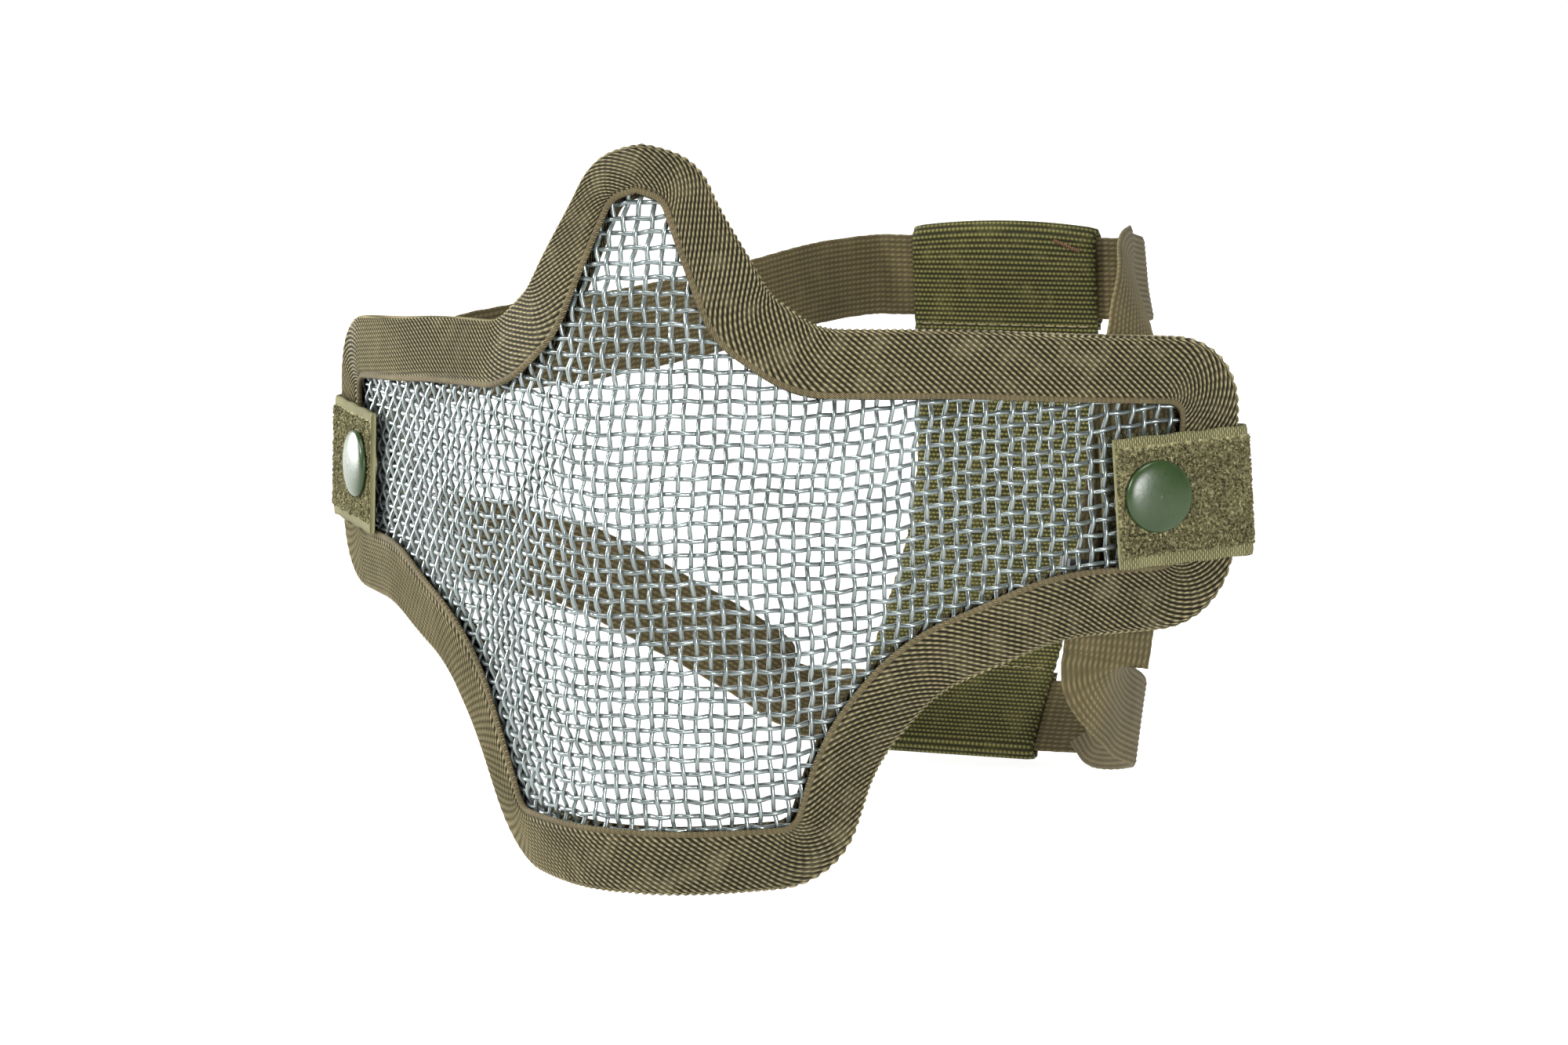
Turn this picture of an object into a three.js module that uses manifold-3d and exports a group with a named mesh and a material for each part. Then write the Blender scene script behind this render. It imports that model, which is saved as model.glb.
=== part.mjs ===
// Half face mask of woven wire, worn on an elastic harness.
// Millimetres, +Z up. The mask faces -Y and the wearer's left is +X.
// x = 0 is the plane of symmetry, y = 0 the front of the chin, z = 0 the lower edge.
import * as THREE from 'three';
import { mergeVertices } from 'three/addons/utils/BufferGeometryUtils.js';
import Module from 'manifold-3d';

const wasm = await Module();
wasm.setup();

// ---------- driving sizes ----------
const GAP = 0.3; // clearance between neighbouring pieces

// Mask surface: y = lean(z) + CHEEK_SLOPE * (sqrt(x^2 + bend(z)^2) - bend(z)) + crease at the
// front, running into a flat cheek panel at the rear
const CHEEK_SLOPE = 1.15;
const BEND_MID = 48; // roundness of the front at mouth height
const BEND_DROP = 24; // how much sharper the front is one BEND_SPAN above or below
const BEND_HEIGHT = 77;
const BEND_SPAN = 75;
const LEAN_FROM = 30; // the front leans back above this height
const LEAN_RATE = 0.0015;
const CREASE_DEPTH = 2.2; // soft groove beside the nose and mouth
const CREASE_HALF_WIDTH = 8;
const CREASE_TOP = 114; // the groove dies out at the nose and at the chin
const CREASE_FOOT = 22;
const FLAT_FROM = 50; // the front starts to run into the cheek panel at this x
const FLAT_AT = 82; // and is flat from this x rearwards
const REAR_TILT = 0.1; // the cheek panel leans back

// Mesh window in the binding, right half, from the nose down to the chin:
// distance round the mask from the centre line, height, corner radius
const WINDOW = [
  [0, 140, 0], [5, 138.5, 5], [17, 111, 22], [34, 99, 30], [72, 96, 90], [118, 91, 4],
  [118, 58.5, 4], [90, 59.5, 60], [58, 49.5, 40], [40, 31, 50], [33.5, 12, 4], [0, 12.8, 0],
];
const TAPE_WIDTH = 13.5; // binding tape over the edge, each side
const NOSE_TAPE_WIDTH = 9.5; // it is drawn narrower where it rounds the nose
const NOSE_NARROWS_FROM = 112;
const TAPE_THICK = 1.2;
const SLOT_GAP = 0.4; // between the mesh and the tape's leaves
const MESH_THICK = 1.6; // two crossing wires of 0.8 mm

// Side tabs: hook-and-loop strip folded round the rear edge
const TAB_HEIGHT = 27;
const TAB_Z = 72; // middle of the tab
const TAB_FRONT = 103.5; // distance round the mask to the tab's front end
const TAB_THICK = 1.4;
const TAB_FOLD_GAP = 1.3; // the flap turns clear of the fold
const FOLD_INSET = 0.1; // of the fold's centre from the binding's rear edge
const SNAP_AT = 112.5; // distance round the mask to the snap
const SNAP_Z = 73;
const CAP_RADIUS = 7.5;
const CAP_HEIGHT = 2.2;
const SNAP_RIM = 4.6;
const STUD_RADIUS = 1.9;
const STUD_BORE = 1.2;
const POST_RADIUS = 0.9;
const CAP_TUBE_RADIUS = 2.4;
const CAP_EDGE = 0.35; // upright edge of the cap, below its dome
const CAP_CHAMFER = 0.6;
const STUD_SHEET = 0.5; // pressed metal of the stud and its flange
const SOCKET_LIFT = 0.4; // of the socket above the stud's flange
const EYELET_SHEET = 0.7;
const STUD_NECK = 0.2; // the stud's foot and top are narrower than its waist
const STUD_SHOULDER = 0.8; // height of its rounded top
const CUTTER = 9; // length of a cutter that passes right through

// Straps, pad and adjusters
const STRAP_WIDTH = 20;
const STRAP_THICK = 1.4;
const PAD_WIDTH = 48;
const PAD_THICK = 1.8;
const PAD_TOP_Z = 106;
const PAD_UPPER_LENGTH = 46; // upright stretch
const PAD_BEND_RADIUS = 50;
const PAD_BEND_ANGLE = THREE.MathUtils.degToRad(48);
const PAD_LOWER_LENGTH = 52; // stretch that tucks under the back of the head
const TUNNEL_PLAY = 0.6; // above and below the strap
const PAD_TRAVEL = 6; // each way along the straps
const UPPER_RUN_ON = 4; // the upper strap runs straight on past that travel before it turns
const LOWER_RUN_ON = 8; // the lower strap also turns down, so it needs more
const STRAP_BACK_Y = 226; // the upper strap's middle behind the head
const SLIDER_LENGTH = 12;
const SLIDER_RAIL = 2;
const SLIDER_BAR = 2;
const SLIDER_BAR_THICK = 1.5;

// ---------- materials ----------
function material(color, roughness, metalness) {
  return new THREE.MeshStandardMaterial({ color, roughness, metalness });
}
const wirePaint = material(0x9aa9a8, 0.4, 0.3);
const tapeCloth = material(0x77704f, 0.9, 0);
const strapCloth = material(0x6f6a4b, 0.9, 0);
const loopCloth = material(0x6f7049, 1, 0);
const padCloth = material(0x50572a, 0.9, 0);
const capPaint = material(0x5c7846, 0.3, 0.1);
const blackMetal = material(0x34332f, 0.5, 0.6);
const brightMetal = material(0xb3ad98, 0.35, 0.9);

// ---------- solids ----------
function toSolid(geometry) {
  let bare = geometry.clone();
  bare.deleteAttribute('normal');
  bare.deleteAttribute('uv');
  bare = mergeVertices(bare, 1e-4);
  return new wasm.Manifold(new wasm.Mesh({
    numProp: 3,
    vertProperties: new Float32Array(bare.attributes.position.array),
    triVerts: new Uint32Array(bare.index.array),
  }));
}

function fromSolid(solid) {
  const mesh = solid.getMesh();
  const geometry = new THREE.BufferGeometry();
  geometry.setAttribute('position', new THREE.BufferAttribute(mesh.vertProperties, 3));
  geometry.setIndex(new THREE.BufferAttribute(mesh.triVerts, 1));
  geometry.computeVertexNormals();
  return geometry;
}

// A skin through rings of points, each listed anticlockwise as seen from the ring before it.
function loft(rings, closed) {
  const count = rings[0].length;
  const positions = rings.flat().flatMap((p) => p.toArray());
  const index = [];
  const last = closed ? rings.length : rings.length - 1;
  for (let i = 0; i < last; i += 1) {
    const here = i * count;
    const next = ((i + 1) % rings.length) * count;
    for (let k = 0; k < count; k += 1) {
      const right = (k + 1) % count;
      index.push(here + k, here + right, next + right);
      index.push(here + k, next + right, next + k);
    }
  }
  if (!closed) {
    const end = (rings.length - 1) * count;
    for (const [a, b] of capPairs(count)) {
      index.push(a[0], b[0], b[1], a[0], b[1], a[1]);
      index.push(end + a[0], end + b[1], end + b[0], end + a[0], end + a[1], end + b[1]);
    }
  }
  const geometry = new THREE.BufferGeometry();
  geometry.setAttribute('position', new THREE.Float32BufferAttribute(positions, 3));
  geometry.setIndex(index);
  geometry.computeVertexNormals();
  return geometry;
}

// An end ring of a thin sheet is closed by quads between its two long sides.
function capPairs(count) {
  const half = count / 2;
  return Array.from({ length: half - 1 }, (_, k) => [[k, k + 1], [count - 1 - k, count - 2 - k]]);
}

// ---------- mask surface ----------
function smoothStep(t) {
  const s = THREE.MathUtils.clamp(t, 0, 1);
  return s * s * (3 - 2 * s);
}

function bendAt(z) {
  return BEND_MID - BEND_DROP * ((z - BEND_HEIGHT) / BEND_SPAN) ** 2;
}

function frontDepth(x, z) {
  const lean = LEAN_RATE * Math.max(0, z - LEAN_FROM) ** 2;
  const bend = bendAt(z);
  return lean + CHEEK_SLOPE * (Math.hypot(x, bend) - bend);
}

function creaseDepth(x, z) {
  const middle = Math.min(15 + 0.42 * (CREASE_TOP - z), 40);
  const fade = smoothStep((CREASE_TOP - z) / 24) * smoothStep((z - CREASE_FOOT) / 30);
  return CREASE_DEPTH * fade * Math.exp(-(((x - middle) / CREASE_HALF_WIDTH) ** 2));
}

const flatDepth = frontDepth(FLAT_AT, TAB_Z);
const flatSlope = frontDepth(FLAT_AT + 0.5, TAB_Z) - frontDepth(FLAT_AT - 0.5, TAB_Z);

function depthAt(sideways, z) {
  const x = Math.abs(sideways);
  const flat = flatDepth + flatSlope * (x - FLAT_AT) + REAR_TILT * (z - TAB_Z);
  const front = frontDepth(x, z) + creaseDepth(x, z);
  return THREE.MathUtils.lerp(front, flat, smoothStep((x - FLAT_FROM) / (FLAT_AT - FLAT_FROM)));
}

// The x that lies a given distance round the mask from the centre line, at height z.
const ROUND_STEP = 0.5;
function xAtDistance(distance, z) {
  let x = 0;
  let run = 0;
  let y = depthAt(0, z);
  const target = Math.abs(distance);
  while (run < target) {
    const nextY = depthAt(x + ROUND_STEP, z);
    const step = Math.hypot(ROUND_STEP, nextY - y);
    if (run + step >= target) {
      x += ROUND_STEP * (target - run) / step;
      break;
    }
    run += step;
    x += ROUND_STEP;
    y = nextY;
  }
  return Math.sign(distance) * x;
}

function onSurface(distance, z) {
  const x = xAtDistance(distance, z);
  return new THREE.Vector3(x, depthAt(x, z), z);
}

function outwardAt(distance, z) {
  const x = xAtDistance(distance, z);
  const slopeX = depthAt(x + 0.5, z) - depthAt(x - 0.5, z);
  const slopeZ = depthAt(x, z + 0.5) - depthAt(x, z - 0.5);
  return new THREE.Vector3(slopeX, -1, slopeZ).normalize();
}

function maskPoint(distance, z, offset) {
  return onSurface(distance, z).addScaledVector(outwardAt(distance, z), offset);
}

// ---------- outline of the window ----------
const OUTLINE_STEPS = 168;

// Rounds each corner of the right half and mirrors it, as evenly spaced points.
function windowOutline() {
  const left = WINDOW.slice(1, -1).reverse().map(([u, z, r]) => [-u, z, r]);
  const corners = [...WINDOW, ...left];
  const path = new THREE.Path();
  corners.forEach(([u, z, radius], i) => {
    const here = new THREE.Vector2(u, z);
    const before = new THREE.Vector2(...corners.at(i - 1));
    const after = new THREE.Vector2(...corners[(i + 1) % corners.length]);
    const back = before.clone().sub(here);
    const on = after.clone().sub(here);
    const half = Math.abs(back.angleTo(on)) / 2;
    const most = 0.49 * Math.min(back.length(), on.length());
    const cut = Math.min(radius / Math.tan(half), most);
    const from = here.clone().addScaledVector(back.normalize(), cut);
    const to = here.clone().addScaledVector(on.normalize(), cut);
    if (i === 0) path.moveTo(from.x, from.y);
    else path.lineTo(from.x, from.y);
    if (cut > 0) path.quadraticCurveTo(here.x, here.y, to.x, to.y);
  });
  path.closePath();
  return path.getSpacedPoints(OUTLINE_STEPS).slice(0, -1);
}
const outline = windowOutline();

function outwardOf(i) {
  const before = outline.at(i - 1);
  const after = outline[(i + 1) % outline.length];
  const along = after.clone().sub(before).normalize();
  return new THREE.Vector2(-along.y, along.x);
}

function tapeWidthAt(z) {
  const share = smoothStep((z - NOSE_NARROWS_FROM) / (WINDOW[0][1] - NOSE_NARROWS_FROM));
  return TAPE_WIDTH + (NOSE_TAPE_WIDTH - TAPE_WIDTH) * share;
}

// A point of the outline moved out by a share of the tape's width, less an inset.
function outlinePoint(i, share, inset) {
  const base = outline[i];
  const reach = share * tapeWidthAt(base.y) - inset;
  return base.clone().addScaledVector(outwardOf(i), reach);
}

// ---------- woven mesh ----------
const SLOT_HALF = MESH_THICK / 2 + SLOT_GAP;
const TAPE_FACE = SLOT_HALF + TAPE_THICK; // the binding's faces, from the mask surface
const MESH_COLUMNS = 120;
const MESH_ROWS = 12;
const MESH_EDGE_GAP = 0.8; // between the mesh's cut edge and the tape's fold

function meshEdge() {
  return outline.map((_, i) => outlinePoint(i, 1, TAPE_THICK + MESH_EDGE_GAP));
}

// The lowest and highest point of the mesh edge at a distance round the mask.
function heightsAt(edge, distance) {
  const found = [];
  edge.forEach((a, i) => {
    const b = edge[(i + 1) % edge.length];
    if ((a.x - distance) * (b.x - distance) > 0 || a.x === b.x) return;
    found.push(a.y + (b.y - a.y) * (distance - a.x) / (b.x - a.x));
  });
  return [Math.min(...found), Math.max(...found)];
}

function meshShell() {
  const edge = meshEdge();
  const end = Math.max(...edge.map((p) => p.x)) - 0.05;
  const rings = Array.from({ length: MESH_COLUMNS + 1 }, (_, c) => {
    const distance = end * Math.sin(Math.PI * (c / MESH_COLUMNS - 0.5));
    const [low, high] = heightsAt(edge, distance);
    const heights = Array.from({ length: MESH_ROWS + 1 }, (_, r) => low + (high - low) * r / MESH_ROWS);
    const rear = heights.map((z) => maskPoint(distance, z, -MESH_THICK / 2));
    const front = heights.map((z) => maskPoint(distance, z, MESH_THICK / 2)).reverse();
    return [...rear, ...front];
  });
  return loft(rings, false);
}

// ---------- edge binding ----------
const LEAF_SHARES = [0, 0.3, 0.6, 0.86];
const FOLD_ROUND_IN = 0.6; // the fold's corners, across the tape and through it
const FOLD_ROUND_DOWN = 0.8;

function edgeBinding() {
  const rings = outline.map((_, i) => {
    const at = (share, inset, offset) => {
      const p = outlinePoint(i, share, inset);
      return maskPoint(p.x, p.y, offset);
    };
    const outer = LEAF_SHARES.map((share) => at(share, 0, TAPE_FACE));
    const inner = LEAF_SHARES.map((share) => at(share, 0, -TAPE_FACE)).reverse();
    const slotInner = LEAF_SHARES.map((share) => at(share, 0, -SLOT_HALF));
    const slotOuter = LEAF_SHARES.map((share) => at(share, 0, SLOT_HALF)).reverse();
    const rim = [
      at(1, FOLD_ROUND_IN, TAPE_FACE), at(1, 0, TAPE_FACE - FOLD_ROUND_DOWN),
      at(1, 0, FOLD_ROUND_DOWN - TAPE_FACE), at(1, FOLD_ROUND_IN, -TAPE_FACE),
    ];
    const slotEnd = [at(1, TAPE_THICK, -SLOT_HALF), at(1, TAPE_THICK, SLOT_HALF)];
    return [...outer, ...rim, ...inner, ...slotInner, ...slotEnd, ...slotOuter].reverse();
  });
  return loft(rings, true);
}

// ---------- side tab frame ----------
// Local axes at the tab: x forwards round the mask, y outwards, z up, from the snap's axis.
const rearEdge = Math.max(...outline.map((_, i) => outlinePoint(i, 1, 0).x));
const tabOrigin = onSurface(SNAP_AT, TAB_Z);
const tabOut = outwardAt(SNAP_AT, TAB_Z);
const tabForward = new THREE.Vector3(tabOut.y, -tabOut.x, 0).normalize();
const tabUp = tabForward.clone().cross(tabOut);
const tabFrame = new THREE.Matrix4().makeBasis(tabForward, tabOut, tabUp);
tabFrame.setPosition(tabOrigin);

const tabPoint = (forward, out, z) => new THREE.Vector3(forward, out, z - TAB_Z).applyMatrix4(tabFrame);

const FLAP_LOW = TAPE_FACE + GAP; // underside of the flap
const FLAP_TOP = FLAP_LOW + TAB_THICK;
const FLAP_MID = (FLAP_LOW + FLAP_TOP) / 2;
const tabFrontX = SNAP_AT - TAB_FRONT;
const foldX = SNAP_AT - rearEdge + FOLD_INSET; // centre of the fold round the rear edge
const hingeX = foldX + TAB_THICK;

// Extrudes a plan drawn in the tab's x and y over the tab's height.
function tabPrism(shape, height) {
  const options = { depth: height, bevelEnabled: false, curveSegments: 10 };
  const geometry = new THREE.ExtrudeGeometry(shape, options);
  geometry.translate(0, 0, -height / 2);
  return geometry.applyMatrix4(tabFrame);
}

// Inner leaf and the fold round the rear edge
function tabLeaf() {
  const foldFrom = hingeX - TAB_FOLD_GAP;
  const shape = new THREE.Shape();
  shape.moveTo(foldFrom, FLAP_LOW);
  shape.lineTo(foldFrom, FLAP_TOP);
  shape.absarc(foldX, 0, FLAP_TOP, Math.PI / 2, 1.5 * Math.PI, false);
  shape.lineTo(tabFrontX, -FLAP_TOP);
  shape.lineTo(tabFrontX, -FLAP_LOW);
  shape.lineTo(foldX, -FLAP_LOW);
  shape.absarc(foldX, 0, FLAP_LOW, 1.5 * Math.PI, Math.PI / 2, true);
  return tabPrism(shape, TAB_HEIGHT);
}

// Outer flap, round at its hinge end, with a hole for the snap cap's tube
function tabFlap() {
  const shape = new THREE.Shape();
  shape.moveTo(tabFrontX, FLAP_LOW);
  shape.lineTo(tabFrontX, FLAP_TOP);
  shape.absarc(hingeX, FLAP_MID, TAB_THICK / 2, Math.PI / 2, 1.5 * Math.PI, false);
  const flap = toSolid(tabPrism(shape, TAB_HEIGHT));
  const radius = CAP_TUBE_RADIUS + GAP;
  const hole = toSolid(snapRound([[0, 0], [radius, 0], [radius, CUTTER], [0, CUTTER]], 24));
  return fromSolid(flap.subtract(hole));
}

// ---------- snap fastener ----------
// Turns a profile of radius and outward distance about the snap's axis.
function snapRound(profile, segments) {
  const points = profile.map(([r, out]) => new THREE.Vector2(r, out));
  const geometry = new THREE.LatheGeometry(points, segments);
  geometry.translate(0, 0, SNAP_Z - TAB_Z);
  return geometry.applyMatrix4(tabFrame);
}

const MESH_FACE = MESH_THICK / 2 + GAP;
const STUD_TOP = FLAP_LOW + GAP;

function snapCap() {
  const bottom = FLAP_TOP + GAP;
  const profile = [[0, STUD_TOP + GAP], [CAP_TUBE_RADIUS, STUD_TOP + GAP], [CAP_TUBE_RADIUS, bottom]];
  profile.push([CAP_RADIUS - CAP_CHAMFER, bottom], [CAP_RADIUS, bottom + CAP_EDGE]);
  for (let k = 1; k <= 6; k += 1) {
    const angle = (k / 6) * Math.PI / 2;
    const rise = CAP_EDGE + (CAP_HEIGHT - CAP_EDGE) * Math.sin(angle);
    profile.push([CAP_RADIUS * Math.cos(angle), bottom + rise]);
  }
  profile.at(-1)[0] = 0;
  return snapRound(profile, 40);
}

function snapSocket() {
  const inner = STUD_RADIUS + 0.5;
  const low = MESH_FACE + STUD_SHEET + SOCKET_LIFT;
  const high = FLAP_LOW - GAP;
  return snapRound([[inner, low], [SNAP_RIM, low], [SNAP_RIM, high], [inner, high], [inner, low]], 32);
}

function snapStud() {
  const flange = MESH_FACE + STUD_SHEET;
  const shoulder = STUD_TOP - STUD_SHOULDER;
  return snapRound([
    [STUD_BORE, MESH_FACE], [SNAP_RIM, MESH_FACE], [SNAP_RIM, flange], [STUD_RADIUS - STUD_NECK, flange],
    [STUD_RADIUS, shoulder], [STUD_RADIUS - 2 * STUD_NECK, STUD_TOP], [0, STUD_TOP],
    [0, STUD_TOP - STUD_SHEET], [STUD_BORE, STUD_TOP - STUD_SHEET], [STUD_BORE, MESH_FACE],
  ], 32);
}

function snapEyelet() {
  const rear = -MESH_FACE - EYELET_SHEET;
  const tip = STUD_TOP - STUD_SHOULDER;
  return snapRound([
    [0, rear], [SNAP_RIM, rear], [SNAP_RIM, -MESH_FACE],
    [POST_RADIUS, -MESH_FACE], [POST_RADIUS, tip], [0, tip],
  ], 32);
}

// ---------- straps ----------
// A route is a list of points with the outward direction of the strap's face at each.
const upperZ = PAD_TOP_Z - PAD_THICK - TUNNEL_PLAY - STRAP_WIDTH / 2;
const straightHalf = PAD_WIDTH / 2 + PAD_TRAVEL;

// Pad's side view in y and z: an upright stretch, a bend and a stretch that tucks forward.
const padTop = new THREE.Vector2(STRAP_BACK_Y - PAD_THICK / 2 - GAP - STRAP_THICK / 2, PAD_TOP_Z);
const padBendFrom = padTop.clone().add(new THREE.Vector2(0, -PAD_UPPER_LENGTH));
const padBendCentre = padBendFrom.clone().add(new THREE.Vector2(-PAD_BEND_RADIUS, 0));
const padTuck = new THREE.Vector2(-Math.sin(PAD_BEND_ANGLE), -Math.cos(PAD_BEND_ANGLE));
const padTuckOut = new THREE.Vector2(Math.cos(PAD_BEND_ANGLE), -Math.sin(PAD_BEND_ANGLE));
const padTuckFrom = padBendCentre.clone().addScaledVector(padTuckOut, PAD_BEND_RADIUS);
const padFoot = padTuckFrom.clone().addScaledVector(padTuck, PAD_LOWER_LENGTH);
const behindPad = PAD_THICK / 2 + GAP + STRAP_THICK / 2; // strap's middle behind the pad's middle
const lowerMiddle = padFoot.clone()
  .addScaledVector(padTuck, -(PAD_THICK + TUNNEL_PLAY + STRAP_WIDTH / 2))
  .addScaledVector(padTuckOut, behindPad);

// Points of a strap along x behind the pad, from one side to the other.
function backRun(y, z, outward, runOn) {
  const ends = [-straightHalf - runOn, -straightHalf];
  const stops = [...ends, -PAD_WIDTH / 3, 0, PAD_WIDTH / 3, ...ends.map((x) => -x).reverse()];
  return stops.map((x) => [new THREE.Vector3(x, y, z), outward]);
}

const mirror = (p) => new THREE.Vector3(-p.x, p.y, p.z);
const vec = (x, y, z) => new THREE.Vector3(x, y, z);

// Sewn ends on the tab's inner leaf, one strap over the other
const SEWN_OUT = -FLAP_TOP - GAP - STRAP_THICK / 2;
const UNDER_OUT = SEWN_OUT - STRAP_THICK - GAP;
const upperEnd = (foot) => [foot, 80, 86, 89].map((z) => [tabPoint(0, SEWN_OUT, z), tabOut]);

// The lower strap's straight stretch under a tab, from its sewn end down to where it turns
// back. Both are drawn for the left tab, and the right one is mirrored.
function straightRun(top, foot) {
  const down = foot.clone().sub(top).normalize();
  const out = tabOut.clone().addScaledVector(down, -tabOut.dot(down)).normalize();
  const at = (share) => top.clone().lerp(foot, share);
  return { at, down, out, across: down.clone().cross(out) };
}
const leftRun = straightRun(tabPoint(0, UNDER_OUT, 80), tabPoint(8, UNDER_OUT - 2.4, 36));
const rightRun = straightRun(tabPoint(6, UNDER_OUT, 76), tabPoint(-20, UNDER_OUT - 8, 54));
const lowerEnd = (run) => [0, 0.25, 0.92, 1].map((share) => [run.at(share), run.out]);
const onRight = (ends) => ends.map(([p, out]) => [mirror(p), mirror(out)]);

const upperLeft = [
  ...upperEnd(66),
  [vec(84, 81, 101), vec(0.86, -0.5, 0.1)],
  [vec(76.5, 100, 110), vec(0.93, 0.2, 0.3)],
  [vec(61, 143, 108), vec(0.93, 0.36, 0)],
  [vec(48, 182, 101), vec(0.9, 0.43, 0)],
  [vec(41, 211, 96), vec(0.75, 0.66, 0)],
];
const upperRight = [
  ...onRight(upperEnd(74)),
  [vec(-81, 78, 93), vec(-0.9, -0.3, 0.1)],
  [vec(-73, 97, 94), vec(-0.93, 0.3, 0)],
  [vec(-63, 125, 93), vec(-0.92, 0.39, 0)],
  [vec(-51, 168, 93), vec(-0.9, 0.43, 0)],
  [vec(-42, 208, 94), vec(-0.75, 0.66, 0)],
];
const lowerLeft = [
  ...lowerEnd(leftRun),
  [vec(76, 84, 23), vec(0.94, 0.2, -0.2)],
  [vec(72, 108, 14), vec(0.86, 0.5, -0.2)],
  [vec(62, 134, 6), vec(0.7, 0.65, -0.3)],
  [vec(47, 160, -2), vec(0.4, 0.75, -0.5)],
];
const lowerRight = [
  ...onRight(lowerEnd(rightRun)),
  [vec(-86, 106, 47), vec(-0.95, 0.25, -0.1)],
  [vec(-72, 122, 39.5), vec(-0.85, 0.5, -0.1)],
  [vec(-57, 144, 23.5), vec(-0.8, 0.55, -0.2)],
  [vec(-43, 165, 6.5), vec(-0.5, 0.75, -0.4)],
];
const upperBack = backRun(STRAP_BACK_Y, upperZ, vec(0, 1, 0), UPPER_RUN_ON);
const upperRoute = [...upperRight, ...upperBack, ...[...upperLeft].reverse()];
const tuckOut = vec(0, padTuckOut.x, padTuckOut.y);
const lowerBack = backRun(lowerMiddle.x, lowerMiddle.y, tuckOut, LOWER_RUN_ON);
const lowerRoute = [...lowerRight, ...lowerBack, ...[...lowerLeft].reverse()];

// A flat strap along a route. Its face turns with the route's outward directions.
function ribbon(route, stepsPerSpan) {
  const curve = new THREE.CatmullRomCurve3(route.map(([p]) => p), false, 'centripetal');
  const spans = route.length - 1;
  const steps = spans * stepsPerSpan;
  const rings = Array.from({ length: steps + 1 }, (_, i) => {
    const t = i / steps;
    const span = Math.min(Math.floor(t * spans), spans - 1);
    const along = curve.getTangent(t);
    const share = smoothStep(t * spans - span);
    const out = route[span][1].clone().lerp(route[span + 1][1], share);
    out.addScaledVector(along, -out.dot(along)).normalize();
    const across = out.clone().cross(along).multiplyScalar(STRAP_WIDTH / 2);
    out.multiplyScalar(STRAP_THICK / 2);
    const middle = curve.getPoint(t);
    const corner = (a, b) => middle.clone().addScaledVector(across, a).addScaledVector(out, b);
    return [corner(-1, -1), corner(0, -1), corner(1, -1), corner(1, 1), corner(0, 1), corner(-1, 1)];
  });
  return loft(rings, false);
}

// ---------- adjusters ----------
// Local axes on a straight run of the lower strap: x down the strap, y outwards, z across.
const LEFT_SLIDER_SHARE = 0.62; // place of each adjuster on its run
const RIGHT_SLIDER_SHARE = 0.55;
function runFrame(run, share) {
  const frame = new THREE.Matrix4().makeBasis(run.down, run.out, run.across);
  return frame.setPosition(run.at(share));
}

function block(x, y, z, cx, cy, cz) {
  return toSolid(new THREE.BoxGeometry(x, y, z).translate(cx, cy, cz));
}

function slider(run, share) {
  const inside = STRAP_WIDTH / 2 + GAP;
  const clear = STRAP_THICK / 2 + GAP;
  const railHeight = 2 * (clear + SLIDER_BAR_THICK);
  const barAcross = 2 * (inside + SLIDER_RAIL);
  const railZ = inside + SLIDER_RAIL / 2;
  const barOut = clear + SLIDER_BAR_THICK / 2;
  const endX = SLIDER_LENGTH / 2 - SLIDER_BAR / 2;
  let frame = block(SLIDER_LENGTH, railHeight, SLIDER_RAIL, 0, 0, railZ);
  frame = frame.add(block(SLIDER_LENGTH, railHeight, SLIDER_RAIL, 0, 0, -railZ));
  for (const x of [-endX, endX]) {
    frame = frame.add(block(SLIDER_BAR, SLIDER_BAR_THICK, barAcross, x, barOut, 0));
  }
  frame = frame.add(block(SLIDER_BAR, SLIDER_BAR_THICK, barAcross, 0, -barOut, 0));
  return fromSolid(frame).applyMatrix4(runFrame(run, share));
}

// ---------- back pad ----------
// Front leaf with a tunnel folded back at each end for the straps
function backPad() {
  const half = PAD_THICK / 2;
  const slotDepth = STRAP_THICK + 2 * GAP;
  const rear = half + slotDepth + PAD_THICK;
  const slotLength = STRAP_WIDTH + 2 * TUNNEL_PLAY;
  const tunnel = slotLength + 2 * PAD_THICK;
  const onUpper = (down, out) => new THREE.Vector2(padTop.x + out, padTop.y - down);
  const onLower = (up, out) => (
    padFoot.clone().addScaledVector(padTuck, -up).addScaledVector(padTuckOut, out)
  );
  const bend = (out, from, to) => Array.from({ length: 13 }, (_, i) => {
    const angle = -PAD_BEND_ANGLE * (from + (to - from) * i / 12);
    const reach = new THREE.Vector2(Math.cos(angle), Math.sin(angle));
    return padBendCentre.clone().addScaledVector(reach, PAD_BEND_RADIUS + out);
  });
  const rim = [
    onUpper(0, -half), ...bend(-half, 0, 1), onLower(0, -half), onLower(0, rear), onLower(tunnel, rear),
    onLower(tunnel, half), ...bend(half, 1, 0), onUpper(tunnel, half), onUpper(tunnel, rear), onUpper(0, rear),
  ];
  const slot = (place) => new THREE.Path([
    place(PAD_THICK, half), place(PAD_THICK + slotLength, half),
    place(PAD_THICK + slotLength, half + slotDepth), place(PAD_THICK, half + slotDepth),
  ]);
  const shape = new THREE.Shape(rim);
  shape.holes.push(slot(onUpper), slot(onLower));
  const geometry = new THREE.ExtrudeGeometry(shape, { depth: PAD_WIDTH, bevelEnabled: false });
  geometry.translate(0, 0, -PAD_WIDTH / 2);
  // the drawing's x and y are the pad's y and z
  const upright = new THREE.Matrix4().makeBasis(vec(0, 1, 0), vec(0, 0, 1), vec(1, 0, 0));
  return geometry.applyMatrix4(upright);
}

// ---------- assembly ----------
const group = new THREE.Group();

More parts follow.
